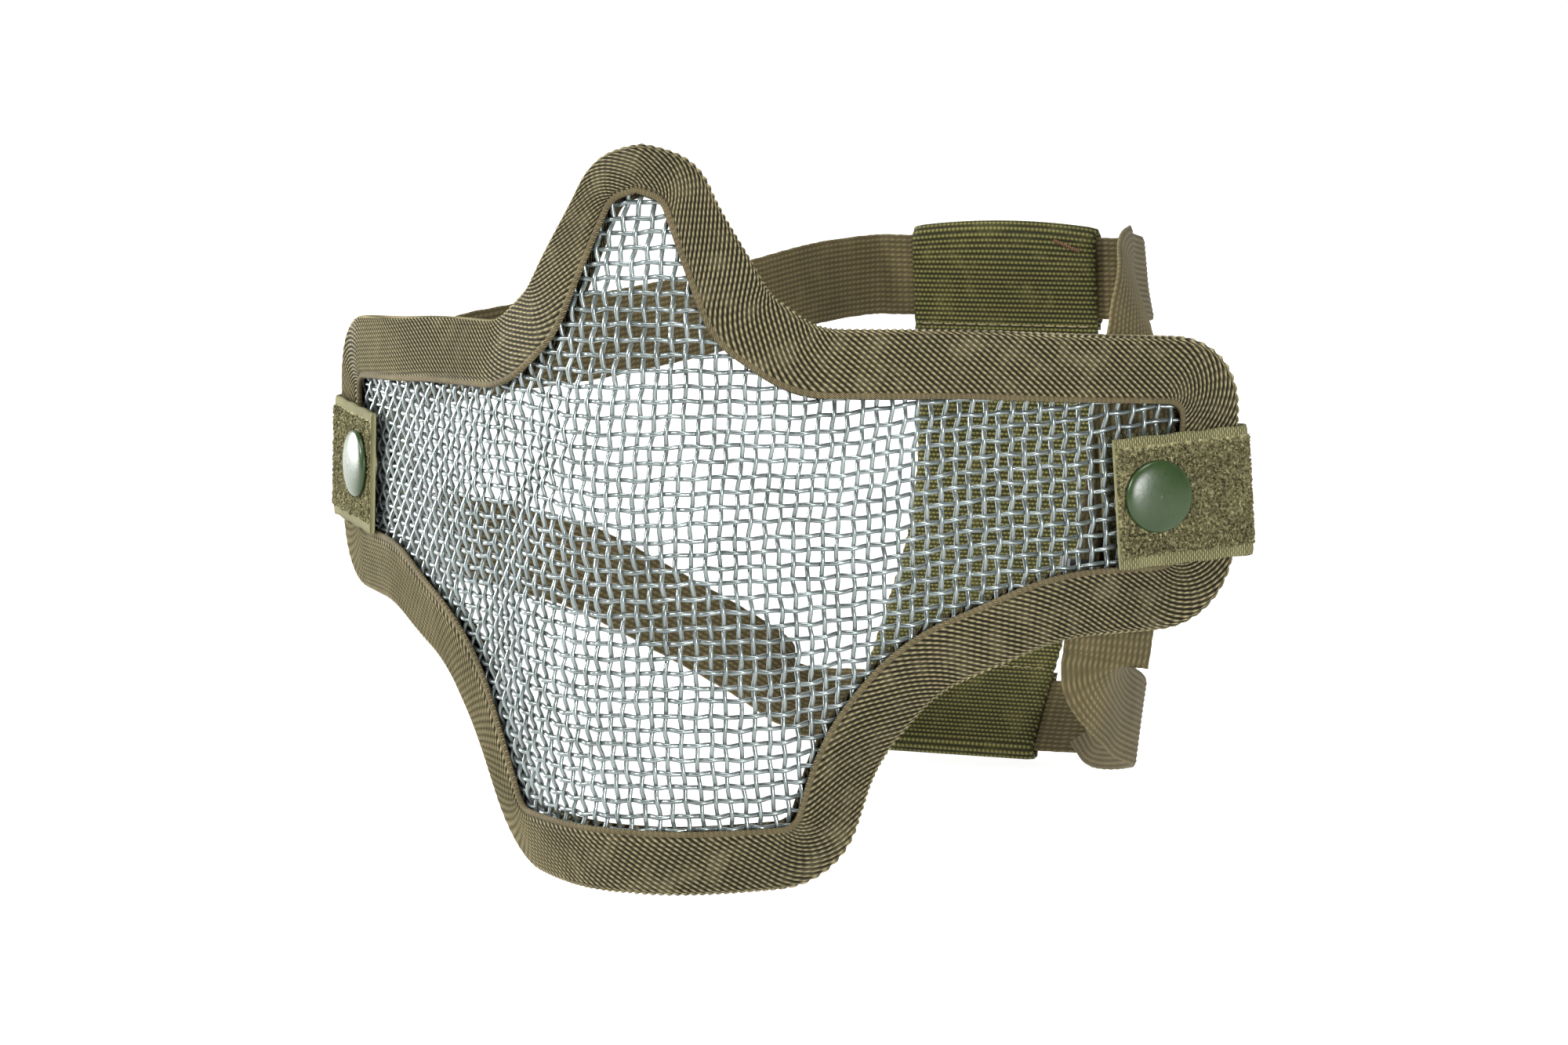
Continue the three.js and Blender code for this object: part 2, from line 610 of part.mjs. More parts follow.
function add(name, geometry, look) {
  const mesh = new THREE.Mesh(geometry, look);
  mesh.name = name;
  group.add(mesh);
}

// Right-hand copies are mirrored in x = 0, with their faces turned back outwards.
function mirrored(geometry) {
  const copy = geometry.index ? geometry.toNonIndexed() : geometry.clone();
  copy.scale(-1, 1, 1);
  const position = copy.attributes.position;
  for (let i = 0; i < position.count; i += 3) {
    const a = new THREE.Vector3().fromBufferAttribute(position, i + 1);
    const b = new THREE.Vector3().fromBufferAttribute(position, i + 2);
    position.setXYZ(i + 1, b.x, b.y, b.z);
    position.setXYZ(i + 2, a.x, a.y, a.z);
  }
  return fromSolid(toSolid(copy));
}

function addPair(name, geometry, look) {
  add(`left_${name}`, geometry, look);
  add(`right_${name}`, mirrored(geometry), look);
}

function pierced(shell) {
  const radius = POST_RADIUS + GAP;
  const profile = [[0, -CUTTER / 2], [radius, -CUTTER / 2], [radius, CUTTER / 2], [0, CUTTER / 2]];
  const hole = snapRound(profile, 24);
  const cut = toSolid(shell).subtract(toSolid(hole)).subtract(toSolid(mirrored(hole)));
  return fromSolid(cut);
}

add('mesh_shell', pierced(meshShell()), wirePaint);
add('edge_binding', edgeBinding(), tapeCloth);
addPair('tab_leaf', tabLeaf(), loopCloth);
addPair('tab_flap', tabFlap(), loopCloth);
addPair('snap_cap', snapCap(), capPaint);
addPair('snap_socket', snapSocket(), brightMetal);
addPair('snap_stud', snapStud(), brightMetal);
addPair('snap_eyelet', snapEyelet(), brightMetal);
add('upper_strap', ribbon(upperRoute, 5), strapCloth);
add('lower_strap', ribbon(lowerRoute, 5), strapCloth);
add('back_pad', backPad(), padCloth);
add('left_strap_slider', slider(leftRun, LEFT_SLIDER_SHARE), blackMetal);
add('right_strap_slider', mirrored(slider(rightRun, RIGHT_SLIDER_SHARE)), blackMetal);

export default group;
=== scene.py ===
"""Half face mask of woven wire on an elastic harness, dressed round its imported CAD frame.

Shapes are drawn in millimetres in the CAD's own frame and scaled to metres as they are built.
"""
import math

import bpy
import numpy as np
from mathutils import Matrix, Vector


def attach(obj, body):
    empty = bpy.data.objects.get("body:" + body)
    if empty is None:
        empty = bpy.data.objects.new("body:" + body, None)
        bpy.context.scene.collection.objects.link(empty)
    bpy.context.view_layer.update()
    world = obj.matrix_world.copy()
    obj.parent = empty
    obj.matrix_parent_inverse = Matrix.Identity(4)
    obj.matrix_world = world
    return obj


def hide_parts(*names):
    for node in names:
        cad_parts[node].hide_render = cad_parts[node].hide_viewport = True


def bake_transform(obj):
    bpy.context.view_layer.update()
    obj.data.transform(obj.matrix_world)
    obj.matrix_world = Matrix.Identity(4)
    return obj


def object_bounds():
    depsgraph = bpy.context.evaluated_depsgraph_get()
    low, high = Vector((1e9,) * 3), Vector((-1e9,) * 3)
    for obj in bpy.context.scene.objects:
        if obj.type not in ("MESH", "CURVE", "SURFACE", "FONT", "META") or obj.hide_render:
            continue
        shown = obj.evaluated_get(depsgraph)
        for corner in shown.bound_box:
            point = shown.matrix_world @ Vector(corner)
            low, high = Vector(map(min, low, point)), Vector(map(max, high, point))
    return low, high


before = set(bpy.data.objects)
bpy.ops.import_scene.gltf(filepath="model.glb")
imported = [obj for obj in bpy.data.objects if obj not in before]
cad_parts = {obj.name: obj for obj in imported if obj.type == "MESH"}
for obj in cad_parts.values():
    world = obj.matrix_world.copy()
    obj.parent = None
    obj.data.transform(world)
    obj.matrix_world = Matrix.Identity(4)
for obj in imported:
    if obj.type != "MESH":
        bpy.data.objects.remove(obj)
cad_box = [[float(v) for v in corner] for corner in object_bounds()]

MM = 0.001
draw = np.random.default_rng(11)


# ---------- camera ----------
AZIMUTH, ELEVATION, ROLL = (math.radians(a) for a in (24.49, 10.35, -2.38))
CAMERA_DISTANCE = 930.7
AIM = Vector((0, 56.8, 77))


def make_camera():
    back = Vector((
        math.sin(AZIMUTH) * math.cos(ELEVATION),
        -math.cos(AZIMUTH) * math.cos(ELEVATION),
        math.sin(ELEVATION),
    ))
    level = Vector((math.cos(AZIMUTH), math.sin(AZIMUTH), 0))
    upright = back.cross(level)
    right = math.cos(ROLL) * level + math.sin(ROLL) * upright
    up = math.cos(ROLL) * upright - math.sin(ROLL) * level
    data = bpy.data.cameras.new("camera")
    data.lens = 100.5
    data.sensor_width = 36
    data.shift_x = 0.0343
    data.shift_y = -0.0356
    data.clip_start = 0.05
    camera = bpy.data.objects.new("camera", data)
    turn = Matrix((right, up, back)).transposed().to_4x4()
    camera.matrix_world = Matrix.Translation((AIM + back * CAMERA_DISTANCE) * MM) @ turn
    bpy.context.scene.collection.objects.link(camera)
    bpy.context.scene.camera = camera


make_camera()


# ---------- mask surface, as in the CAD ----------
CHEEK_SLOPE = 1.15
BEND_MID, BEND_DROP, BEND_HEIGHT, BEND_SPAN = 48, 24, 77, 75
LEAN_FROM, LEAN_RATE = 30, 0.0015
CREASE_DEPTH, CREASE_HALF_WIDTH, CREASE_TOP, CREASE_FOOT = 2.2, 8, 114, 22
FLAT_FROM, FLAT_AT, REAR_TILT, TAB_Z = 50, 82, 0.1, 72


def smooth_step(t):
    s = np.clip(t, 0, 1)
    return s * s * (3 - 2 * s)


def front_depth(x, z):
    bend = BEND_MID - BEND_DROP * ((z - BEND_HEIGHT) / BEND_SPAN) ** 2
    return LEAN_RATE * np.maximum(0, z - LEAN_FROM) ** 2 + CHEEK_SLOPE * (np.hypot(x, bend) - bend)


def crease_depth(x, z):
    middle = np.minimum(15 + 0.42 * (CREASE_TOP - z), 40)
    fade = smooth_step((CREASE_TOP - z) / 24) * smooth_step((z - CREASE_FOOT) / 30)
    return CREASE_DEPTH * fade * np.exp(-(((x - middle) / CREASE_HALF_WIDTH) ** 2))


flat_depth = front_depth(FLAT_AT, TAB_Z)
flat_slope = front_depth(FLAT_AT + 0.5, TAB_Z) - front_depth(FLAT_AT - 0.5, TAB_Z)


def depth(sideways, z):
    x = np.abs(sideways)
    flat = flat_depth + flat_slope * (x - FLAT_AT) + REAR_TILT * (z - TAB_Z)
    share = smooth_step((x - FLAT_FROM) / (FLAT_AT - FLAT_FROM))
    return (front_depth(x, z) + crease_depth(x, z)) * (1 - share) + flat * share


# Table of x by height and by distance round the mask, one row for each millimetre of height
LOWEST = -30
HEIGHTS = np.arange(LOWEST, 171.0)
ROUND_STEP = 0.5
ACROSS = np.arange(0, 140, ROUND_STEP)
ROUNDS = np.arange(0, 150, ROUND_STEP)


def round_table():
    rows = []
    for height in HEIGHTS:
        steps = np.hypot(ROUND_STEP, np.diff(depth(ACROSS, height)))
        rows.append(np.interp(ROUNDS, np.concatenate([[0], np.cumsum(steps)]), ACROSS))
    return np.array(rows)


x_by_round = round_table()


def x_at(distance, z):
    row = np.clip(z - LOWEST, 0, len(HEIGHTS) - 1.001)
    column = np.clip(np.abs(distance) / ROUND_STEP, 0, len(ROUNDS) - 1.001)
    r, c = row.astype(int), column.astype(int)
    fr, fc = row - r, column - c
    low = x_by_round[r, c] * (1 - fc) + x_by_round[r, c + 1] * fc
    high = x_by_round[r + 1, c] * (1 - fc) + x_by_round[r + 1, c + 1] * fc
    return np.sign(distance) * (low * (1 - fr) + high * fr)


def mask_point(distance, z, offset):
    """Points and unit normals at a distance round the mask, a height, and an offset outwards."""
    x = x_at(distance, z)
    slope_x = depth(x + 0.5, z) - depth(x - 0.5, z)
    slope_z = depth(x, z + 0.5) - depth(x, z - 0.5)
    normal = np.stack([slope_x, -np.ones_like(x), slope_z], axis=-1)
    normal /= np.linalg.norm(normal, axis=-1, keepdims=True)
    point = np.stack([x, depth(x, z), z], axis=-1)
    return point + normal * np.asarray(offset)[..., None], normal


# ---------- outline of the window ----------
WINDOW = [
    (0, 140, 0), (5, 138.5, 5), (17, 111, 22), (34, 99, 30), (72, 96, 90), (118, 91, 4),
    (118, 58.5, 4), (90, 59.5, 60), (58, 49.5, 40), (40, 31, 50), (33.5, 12, 4), (0, 12.8, 0),
]
TAPE_WIDTH, NOSE_TAPE_WIDTH, NOSE_NARROWS_FROM = 13.5, 9.5, 112
CORNER_STEPS = 20
OUTLINE_POINTS = 2400


def window_outline():
    """Points round the window and the way out at each, clockwise as seen from in front.

    They are evenly spaced along the middle of the tape, and so is the length that is returned.
    """
    corners = WINDOW + [(-u, z, r) for u, z, r in reversed(WINDOW[1:-1])]
    path = []
    for i, (u, z, radius) in enumerate(corners):
        here = np.array([u, z], float)
        back = np.array(corners[i - 1][:2]) - here
        on = np.array(corners[(i + 1) % len(corners)][:2]) - here
        long_back, long_on = np.linalg.norm(back), np.linalg.norm(on)
        half = math.acos(np.clip(back @ on / (long_back * long_on), -1, 1)) / 2
        cut = min(radius / math.tan(half), 0.49 * min(long_back, long_on))
        start, end = here + back * cut / long_back, here + on * cut / long_on
        for t in np.linspace(0, 1, CORNER_STEPS) if cut > 0 else [0]:
            path.append((1 - t) ** 2 * start + 2 * t * (1 - t) * here + t * t * end)
    path = np.array(path + path[:1])
    run = np.concatenate([[0], np.cumsum(np.linalg.norm(np.diff(path, axis=0), axis=1))])
    spots = np.linspace(0, run[-1], OUTLINE_POINTS, endpoint=False)
    points = np.stack([np.interp(spots, run, path[:, k]) for k in (0, 1)], axis=1)
    reach = 6
    along = np.roll(points, -reach, axis=0) - np.roll(points, reach, axis=0)
    along /= np.linalg.norm(along, axis=1, keepdims=True)
    out = np.stack([-along[:, 1], along[:, 0]], axis=1)
    both = np.hstack([points, out])
    closed = np.concatenate([both, both[:1]])
    middle = closed[:, :2] + closed[:, 2:] * TAPE_WIDTH / 2
    run = np.concatenate([[0], np.cumsum(np.linalg.norm(np.diff(middle, axis=0), axis=1))])
    spots = np.linspace(0, run[-1], OUTLINE_POINTS, endpoint=False)
    even = np.stack([np.interp(spots, run, closed[:, k]) for k in range(4)], axis=1)
    out = even[:, 2:] / np.linalg.norm(even[:, 2:], axis=1, keepdims=True)
    return even[:, :2], out, run[-1]


outline, outline_out, outline_length = window_outline()


def around(table, position):
    """Looks a table of the outline up at positions in millimetres, which may run past its end."""
    spot = np.mod(position, outline_length) / outline_length * OUTLINE_POINTS
    low = spot.astype(int) % OUTLINE_POINTS
    part = (spot - spot.astype(int))[..., None]
    return table[low] * (1 - part) + table[(low + 1) % OUTLINE_POINTS] * part


def tape_width(z):
    share = smooth_step((z - NOSE_NARROWS_FROM) / (WINDOW[0][1] - NOSE_NARROWS_FROM))
    return TAPE_WIDTH + (NOSE_TAPE_WIDTH - TAPE_WIDTH) * share


# ---------- mesh building ----------
def signed_volume(points, faces):
    quads = np.array([f for f in faces if len(f) == 4])
    a, b, c, d = (points[quads[:, k]] for k in range(4))
    return (a * np.cross(b, c)).sum() + (a * np.cross(c, d)).sum()


def make_piece(name, points, faces, material, uv=None, closed=True):
    """A smooth mesh from points in millimetres, turned outwards. uv has a pair for each corner."""
    points = np.asarray(points, float)
    faces = [list(map(int, f)) for f in faces]
    if closed and signed_volume(points, faces) < 0:
        faces = [f[::-1] for f in faces]
        uv = None if uv is None else np.asarray(uv)[:, ::-1]
    mesh = bpy.data.meshes.new(name)
    mesh.from_pydata((points * MM).tolist(), [], faces)
    if uv is not None:
        layer = mesh.uv_layers.new(name="weave")
        layer.data.foreach_set("uv", np.asarray(uv, np.float32).ravel())
    mesh.polygons.foreach_set("use_smooth", np.ones(len(mesh.polygons), bool))
    mesh.materials.append(material)
    mesh.update()
    piece = bpy.data.objects.new(name, mesh)
    bpy.context.scene.collection.objects.link(piece)
    return piece


def grid_faces(rings, count, ring_loop, count_loop):
    """Quads of a grid of points, and the grid place of each of their corners."""
    i, k = np.meshgrid(
        np.arange(rings if ring_loop else rings - 1),
        np.arange(count if count_loop else count - 1),
        indexing="ij",
    )
    i, k = i.ravel(), k.ravel()
    ring = np.stack([i, i, i + 1, i + 1], axis=1)
    spot = np.stack([k, k + 1, k + 1, k], axis=1)
    return (ring % rings) * count + spot % count, ring, spot


def tubes(name, lines, radius, sides, material):
    """Round wires or threads. Each line is its points and the normals that its section turns by."""
    points, faces, start = [], [], 0
    angles = np.arange(sides) * 2 * math.pi / sides
    for line, normals in lines:
        along = np.gradient(line, axis=0)
        along /= np.linalg.norm(along, axis=1, keepdims=True)
        side = np.cross(along, normals)
        side /= np.linalg.norm(side, axis=1, keepdims=True)
        top = np.cross(side, along)
        cos, sin = np.cos(angles)[None, :, None], np.sin(angles)[None, :, None]
        ring = cos * top[:, None] + sin * side[:, None]
        points.append((line[:, None] + radius * ring).reshape(-1, 3))
        quads, _, _ = grid_faces(len(line), sides, False, True)
        faces.extend((quads[:, ::-1] + start).tolist())
        faces.append([start + k for k in range(sides)])
        last = start + (len(line) - 1) * sides
        faces.append([last + k for k in reversed(range(sides))])
        start += len(line) * sides
    return make_piece(name, np.concatenate(points), faces, material)


# ---------- materials ----------
# Noise scales, in patches for each metre
FIBRE_GRAIN, PATCH_GRAIN, WEAR_GRAIN, CLOUD_GRAIN = 2600, 55, 190, 90
TUFT_GRAIN, LOOP_GRAIN, PILE_WEAR_GRAIN = 1500, 5200, 260


def new_material(name):
    material = bpy.data.materials.new(name)
    material.use_nodes = True
    tree = material.node_tree
    return material, tree, tree.nodes["Principled BSDF"]


def node(tree, kind, settings=None, **inputs):
    made = tree.nodes.new(kind)
    for key, value in (settings or {}).items():
        setattr(made, key, value)
    for key, value in inputs.items():
        socket = made.inputs[int(key[1:])] if key[0] == "i" and key[1:].isdigit() else made.inputs[key]
        if isinstance(value, bpy.types.NodeSocket):
            tree.links.new(value, socket)
        else:
            socket.default_value = value
    return made


def calc(tree, operation, *values):
    inputs = {f"i{k}": v for k, v in enumerate(values)}
    return node(tree, "ShaderNodeMath", {"operation": operation}, **inputs).outputs[0]


def mix(tree, share, a, b, blend="MIX"):
    settings = {"data_type": "RGBA", "blend_type": blend}
    return node(tree, "ShaderNodeMix", settings, i0=share, i6=a, i7=b).outputs[2]


def noise(tree, scale, detail=4.0, rough=0.6):
    spot = node(tree, "ShaderNodeTexCoord").outputs["Object"]
    made = node(
        tree, "ShaderNodeTexNoise", None, Vector=spot, Scale=scale, Detail=detail, Roughness=rough
    )
    return made.outputs["Fac"]


def ramp(tree, value, stops):
    made = node(tree, "ShaderNodeValToRGB", None, Fac=value)
    elements = made.color_ramp.elements
    while len(elements) < len(stops):
        elements.new(0.5)
    for element, (place, colour) in zip(elements, stops):
        element.position = place
        element.color = (*colour, 1)
    return made.outputs["Color"]


def bump(tree, shader, height, distance, strength=1.0):
    made = node(tree, "ShaderNodeBump", None, Height=height, Distance=distance, Strength=strength)
    tree.links.new(made.outputs["Normal"], shader.inputs["Normal"])


def woven(name, dark, middle, light, relief, wear=0.25, twist=0.0, stitch_share=0.62):
    """Cloth of staggered yarns. The map counts rows one way and stitches the other.

    twist slants the stitches on each row, as strands lie in a rope.
    """
    material, tree, shader = new_material(name)
    place = node(tree, "ShaderNodeUVMap", {"uv_map": "weave"}).outputs["UV"]
    split = node(tree, "ShaderNodeSeparateXYZ", None, Vector=place)
    row, stitch = split.outputs["X"], split.outputs["Y"]
    swing = calc(tree, "COSINE", calc(tree, "MULTIPLY", row, math.tau))
    crest = calc(tree, "MULTIPLY_ADD", swing, 0.5, 0.5)
    stagger = calc(tree, "MULTIPLY", calc(tree, "FLOOR", calc(tree, "ADD", row, 0.5)), 0.5)
    slant = calc(tree, "MULTIPLY_ADD", row, twist, stagger)
    turn = calc(tree, "MULTIPLY", calc(tree, "ADD", stitch, slant), math.tau)
    yarn = calc(tree, "MULTIPLY_ADD", calc(tree, "SINE", turn), 0.5, 0.5)
    fibre = noise(tree, FIBRE_GRAIN, 3.0, 0.7)
    broken = calc(tree, "MULTIPLY_ADD", yarn, stitch_share, 1 - stitch_share)
    height = calc(tree, "MULTIPLY", crest, broken)
    height = calc(tree, "MULTIPLY_ADD", fibre, 0.3, calc(tree, "SUBTRACT", height, 0.15))
    # The colour follows the yarns' height: darker in the gaps between them as painted shade, lighter on
    # their crests as painted light.
    colour = ramp(tree, height, [(0.08, dark), (0.42, middle), (0.85, light)])
    stops = [(0.3, (0.78, 0.78, 0.76)), (0.7, (1.12, 1.1, 1.06))]
    patches = ramp(tree, noise(tree, PATCH_GRAIN, 5.0), stops)
    colour = mix(tree, 1.0, colour, patches, "MULTIPLY")
    worn = ramp(tree, noise(tree, WEAR_GRAIN, 4.0), [(0.5, (0, 0, 0)), (0.75, (1, 1, 1))])
    faded = calc(tree, "MULTIPLY", worn, wear)
    colour = mix(tree, faded, colour, (*light, 1))
    tree.links.new(colour, shader.inputs["Base Color"])
    rough = calc(tree, "MULTIPLY_ADD", fibre, 0.2, 0.75)
    tree.links.new(rough, shader.inputs["Roughness"])
    shader.inputs["Specular IOR Level"].default_value = 0.2
    bump(tree, shader, height, relief * MM, 0.9)
    return material


def painted(name, low, high, roughness, metallic=0.0, grain=500, chip=None):
    """Paint or metal with cloudy colour, fine grain and a few worn flecks."""
    material, tree, shader = new_material(name)
    colour = ramp(tree, noise(tree, CLOUD_GRAIN, 5.0), [(0.3, low), (0.7, high)])
    if chip:
        flecks = ramp(tree, noise(tree, grain * 0.8, 5.0, 0.7), [(0.66, (0, 0, 0)), (0.72, (1, 1, 1))])
        colour = mix(tree, flecks, colour, (*chip, 1))
    tree.links.new(colour, shader.inputs["Base Color"])
    rough = calc(tree, "MULTIPLY_ADD", noise(tree, grain, 4.0), 0.2, roughness - 0.1)
    tree.links.new(rough, shader.inputs["Roughness"])
    shader.inputs["Metallic"].default_value = metallic
    bump(tree, shader, noise(tree, grain * 1.6, 3.0), 0.04 * MM, 0.5)
    return material


def looped(name, dark, middle, light):
    """A pile of fine loops, its colour following the pile's height: darker where it is low, as painted
    shade, and lighter on the high tufts.
    """
    material, tree, shader = new_material(name)
    tufts = noise(tree, TUFT_GRAIN, 2.0, 0.5)
    fibre = noise(tree, LOOP_GRAIN, 2.0, 0.6)
    height = calc(tree, "MULTIPLY_ADD", fibre, 0.35, calc(tree, "MULTIPLY", tufts, 0.65))
    colour = ramp(tree, height, [(0.38, dark), (0.5, middle), (0.64, light)])
    stops = [(0.35, (0.82, 0.82, 0.8)), (0.65, (1.15, 1.14, 1.1))]
    worn = ramp(tree, noise(tree, PILE_WEAR_GRAIN, 3.0), stops)
    colour = mix(tree, 1.0, colour, worn, "MULTIPLY")
    tree.links.new(colour, shader.inputs["Base Color"])
    shader.inputs["Roughness"].default_value = 0.9
    shader.inputs["Specular IOR Level"].default_value = 0.15
    bump(tree, shader, height, 0.5 * MM)
    return material


# Each cloth's first colour is the painted shade in its yarn gaps and its last the painted light on the
# yarns' crests.
tape_look = woven(
    "tape", (0.009, 0.008, 0.004), (0.085, 0.073, 0.036), (0.26, 0.228, 0.132), 0.34,
    twist=0.55, stitch_share=0.5,
)
bead_look = woven("bead", (0.04, 0.032, 0.016), (0.12, 0.097, 0.05), (0.2, 0.165, 0.09), 0.14)
strap_look = woven(
    "strap", (0.058, 0.047, 0.022), (0.085, 0.069, 0.032), (0.135, 0.112, 0.056), 0.14,
    twist=0.5, stitch_share=0.6,
)
pad_look = woven("pad_webbing", (0.018, 0.018, 0.005), (0.056, 0.054, 0.014), (0.165, 0.16, 0.056), 0.25)
strip_look = woven("loop_strip", (0.05, 0.046, 0.02), (0.15, 0.142, 0.07), (0.26, 0.25, 0.13), 0.12)
wire_look = painted(
    "wire_paint", (0.125, 0.152, 0.144), (0.26, 0.302, 0.3), 0.31, 0.68, 700, (0.06, 0.07, 0.064)
)
wire_look.node_tree.nodes["Principled BSDF"].inputs["Coat Weight"].default_value = 0.6
cap_look = painted("cap_paint", (0.018, 0.036, 0.01), (0.026, 0.048, 0.014), 0.3, 0.0, 900, None)
cap_look.node_tree.nodes["Principled BSDF"].inputs["Specular IOR Level"].default_value = 0.4
black_look = painted(
    "black_metal", (0.02, 0.02, 0.02), (0.045, 0.043, 0.04), 0.4, 0.5, 600, (0.2, 0.19, 0.17)
)
bright_look = painted(
    "snap_metal", (0.4, 0.37, 0.28), (0.56, 0.52, 0.42), 0.35, 0.9, 600, (0.2, 0.18, 0.13)
)
thread_look = painted("thread", (0.16, 0.13, 0.07), (0.26, 0.22, 0.12), 0.85, 0.0, 1500, None)
tack_look = painted("tack_thread", (0.13, 0.06, 0.03), (0.22, 0.11, 0.055), 0.85, 0.0, 1500, None)
pile_look = looped("loop_pile", (0.04, 0.036, 0.016), (0.15, 0.138, 0.068), (0.36, 0.34, 0.19))


# ---------- woven wire ----------
PITCH = 3.0
WIRE_RADIUS = 0.5  # with its paint
CRIMP = 0.42
STEPS_PER_PITCH = 5
WIRE_SIDES = 6
WIRE_END_SHARE = 0.7  # the wires end this far across the tape, hidden in its fold


def inside(points, loop):
    """Whether each point is inside a closed loop."""
    found = np.zeros(len(points), bool)
    for a, b in zip(loop, np.roll(loop, -1, axis=0)):
        if a[1] == b[1]:
            continue
        spans = (points[:, 1] < a[1]) != (points[:, 1] < b[1])
        cross = a[0] + (b[0] - a[0]) * (points[:, 1] - a[1]) / (b[1] - a[1])
        found ^= spans & (points[:, 0] < cross)
    return found


def kinked(u, z):
    """The mesh as it was pressed: its wires wander a little, together."""
    du = 0.45 * np.sin(z / 7.3 + 1.3 * np.sin(u / 19)) + 0.3 * np.sin(z / 17 + u / 23)
    dz = 0.45 * np.sin(u / 8.1 + 1.1 * np.sin(z / 15)) + 0.3 * np.sin(u / 21 - z / 26)
    return u + du, z + dz


def wire_lines(upright):
    stop = outline[::10] + outline_out[::10] * (WIRE_END_SHARE * tape_width(outline[::10, 1]))[:, None]
    reach = np.abs(stop).max() + PITCH
    count = int(reach // PITCH) + 1
    run = np.arange(-count * STEPS_PER_PITCH, count * STEPS_PER_PITCH + 1) / STEPS_PER_PITCH
    lines = []
    for number in range(-count, count + 1):
        still = np.full_like(run, number * PITCH)
        u, z = (still, run * PITCH) if upright else (run * PITCH, still)
        u, z = kinked(u, z)
        stray = 0.16 * np.sin(run * 1.9 + draw.uniform(0, 6)) + draw.normal(0, 0.09)
        u, z = (u + stray, z) if upright else (u, z + stray)
        height = CRIMP * np.cos(math.pi * (run + number)) * (1 if upright else -1)
        shown = inside(np.stack([u, z], axis=1), stop)
        edges = np.flatnonzero(np.diff(np.concatenate([[0], shown.astype(int), [0]])))
        for first, last in edges.reshape(-1, 2):
            if last - first > STEPS_PER_PITCH:
                lines.append(mask_point(u[first:last], z[first:last], height[first:last]))
    return lines


wires = [
    tubes("mesh_wires_upright", wire_lines(True), WIRE_RADIUS, WIRE_SIDES, wire_look),
    tubes("mesh_wires_level", wire_lines(False), WIRE_RADIUS, WIRE_SIDES, wire_look),
]
for wire in wires:
    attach(wire, "mask")
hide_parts("mesh_shell")


# ---------- binding tape ----------
TAPE_FACE = 2.4
SLOT_HALF = 1.2
RIB_ALONG = 1.6  # from rib to rib along the middle of the tape
RIB_LEAN = 1 / math.tan(math.radians(35))
RIB_RELIEF = 0.2
STEPS_PER_RIB = 5
BEAD_RADIUS = 0.62
FACE_STEPS = 11
BEAD_STEPS = 6
BEAD_STITCHES = 3  # stitches of the bead to each rib
TAPE_STITCH = 0.85
EDGE_LOOP = 0.22  # how far the ribs' ends stand out at the fold


def tape_section():
    """Half the section: share across the tape from window to fold, inset, offset, rib share."""
    rows = []
    for angle in np.radians([-60, -15, 30, 75, 120, 160]):
        across = BEAD_RADIUS * (1 - math.sin(angle + math.pi / 2) * 1.0)
        rise = TAPE_FACE - BEAD_RADIUS - BEAD_RADIUS * math.cos(angle + math.pi / 2)
        rows.append((0, across, min(rise, TAPE_FACE), 0))
    rows.append((0, 1.45, TAPE_FACE - 0.42, 0.3))
    for step in np.linspace(0.16, 0.93, FACE_STEPS):
        crown = 0.12 * math.sin(math.pi * step)
        rows.append((step, 0, TAPE_FACE - 0.12 + crown, 1))
    rows += [(1, 0.35, TAPE_FACE - 0.45, 1), (1, 0, TAPE_FACE - 1.1, 1), (1, -0.1, 0.6, 1)]
    return rows


def build_tape():
    front = tape_section()
    back = [(s, i, -o, r) for s, i, o, r in reversed(front)]
    slot = [(0.05, 0, -SLOT_HALF, 0), (0.5, 0, -SLOT_HALF, 0), (0.9, 0, -SLOT_HALF, 0)]
    slot += [(s, i, -o, r) for s, i, o, r in reversed(slot)]
    section = front + back + slot
    ribs = round(outline_length / RIB_ALONG)
    rings = ribs * STEPS_PER_RIB
    start = np.arange(rings) / rings * outline_length
    phase = np.cos(math.tau * np.arange(rings) / STEPS_PER_RIB)
    columns, stitches = [], []
    for share, inset, offset, rib in section:
        side = 1 if offset > 0 else -1
        from_fold = (1 - share) * TAPE_WIDTH - inset
        spot = start + side * from_fold * RIB_LEAN
        base = around(outline, spot)
        reach = share * tape_width(base[:, 1]) + (inset if share == 0 else -inset)
        loops = EDGE_LOOP * np.maximum(phase, -0.3) if share > 0.95 else 0
        place = base + around(outline_out, spot) * (reach + loops)[:, None]
        lift = offset + np.sign(offset) * rib * RIB_RELIEF * phase
        columns.append(mask_point(place[:, 0], place[:, 1], lift)[0])
        stitches.append(side * from_fold / TAPE_STITCH)
    points = np.stack(columns, axis=1).reshape(-1, 3)
    faces, ring, spot = grid_faces(rings, len(section), True, True)
    rows = ring / STEPS_PER_RIB
    stitches.append(stitches[0])
    last = len(front) * 2
    front_bead = spot.max(axis=1) < BEAD_STEPS
    back_bead = (spot.min(axis=1) >= last - BEAD_STEPS) & (spot.max(axis=1) < last)
    beads = front_bead | back_bead
    rows = np.where(beads[:, None], rows * BEAD_STITCHES, rows)
    uv = np.stack([rows, np.array(stitches)[spot]], axis=-1)
    tape = make_piece("binding_tape", points, faces, tape_look, uv)
    tape.data.materials.append(bead_look)
    tape.data.polygons.foreach_set("material_index", beads.astype(np.int32))
    return tape


tape = build_tape()
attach(tape, "mask")
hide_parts("edge_binding")


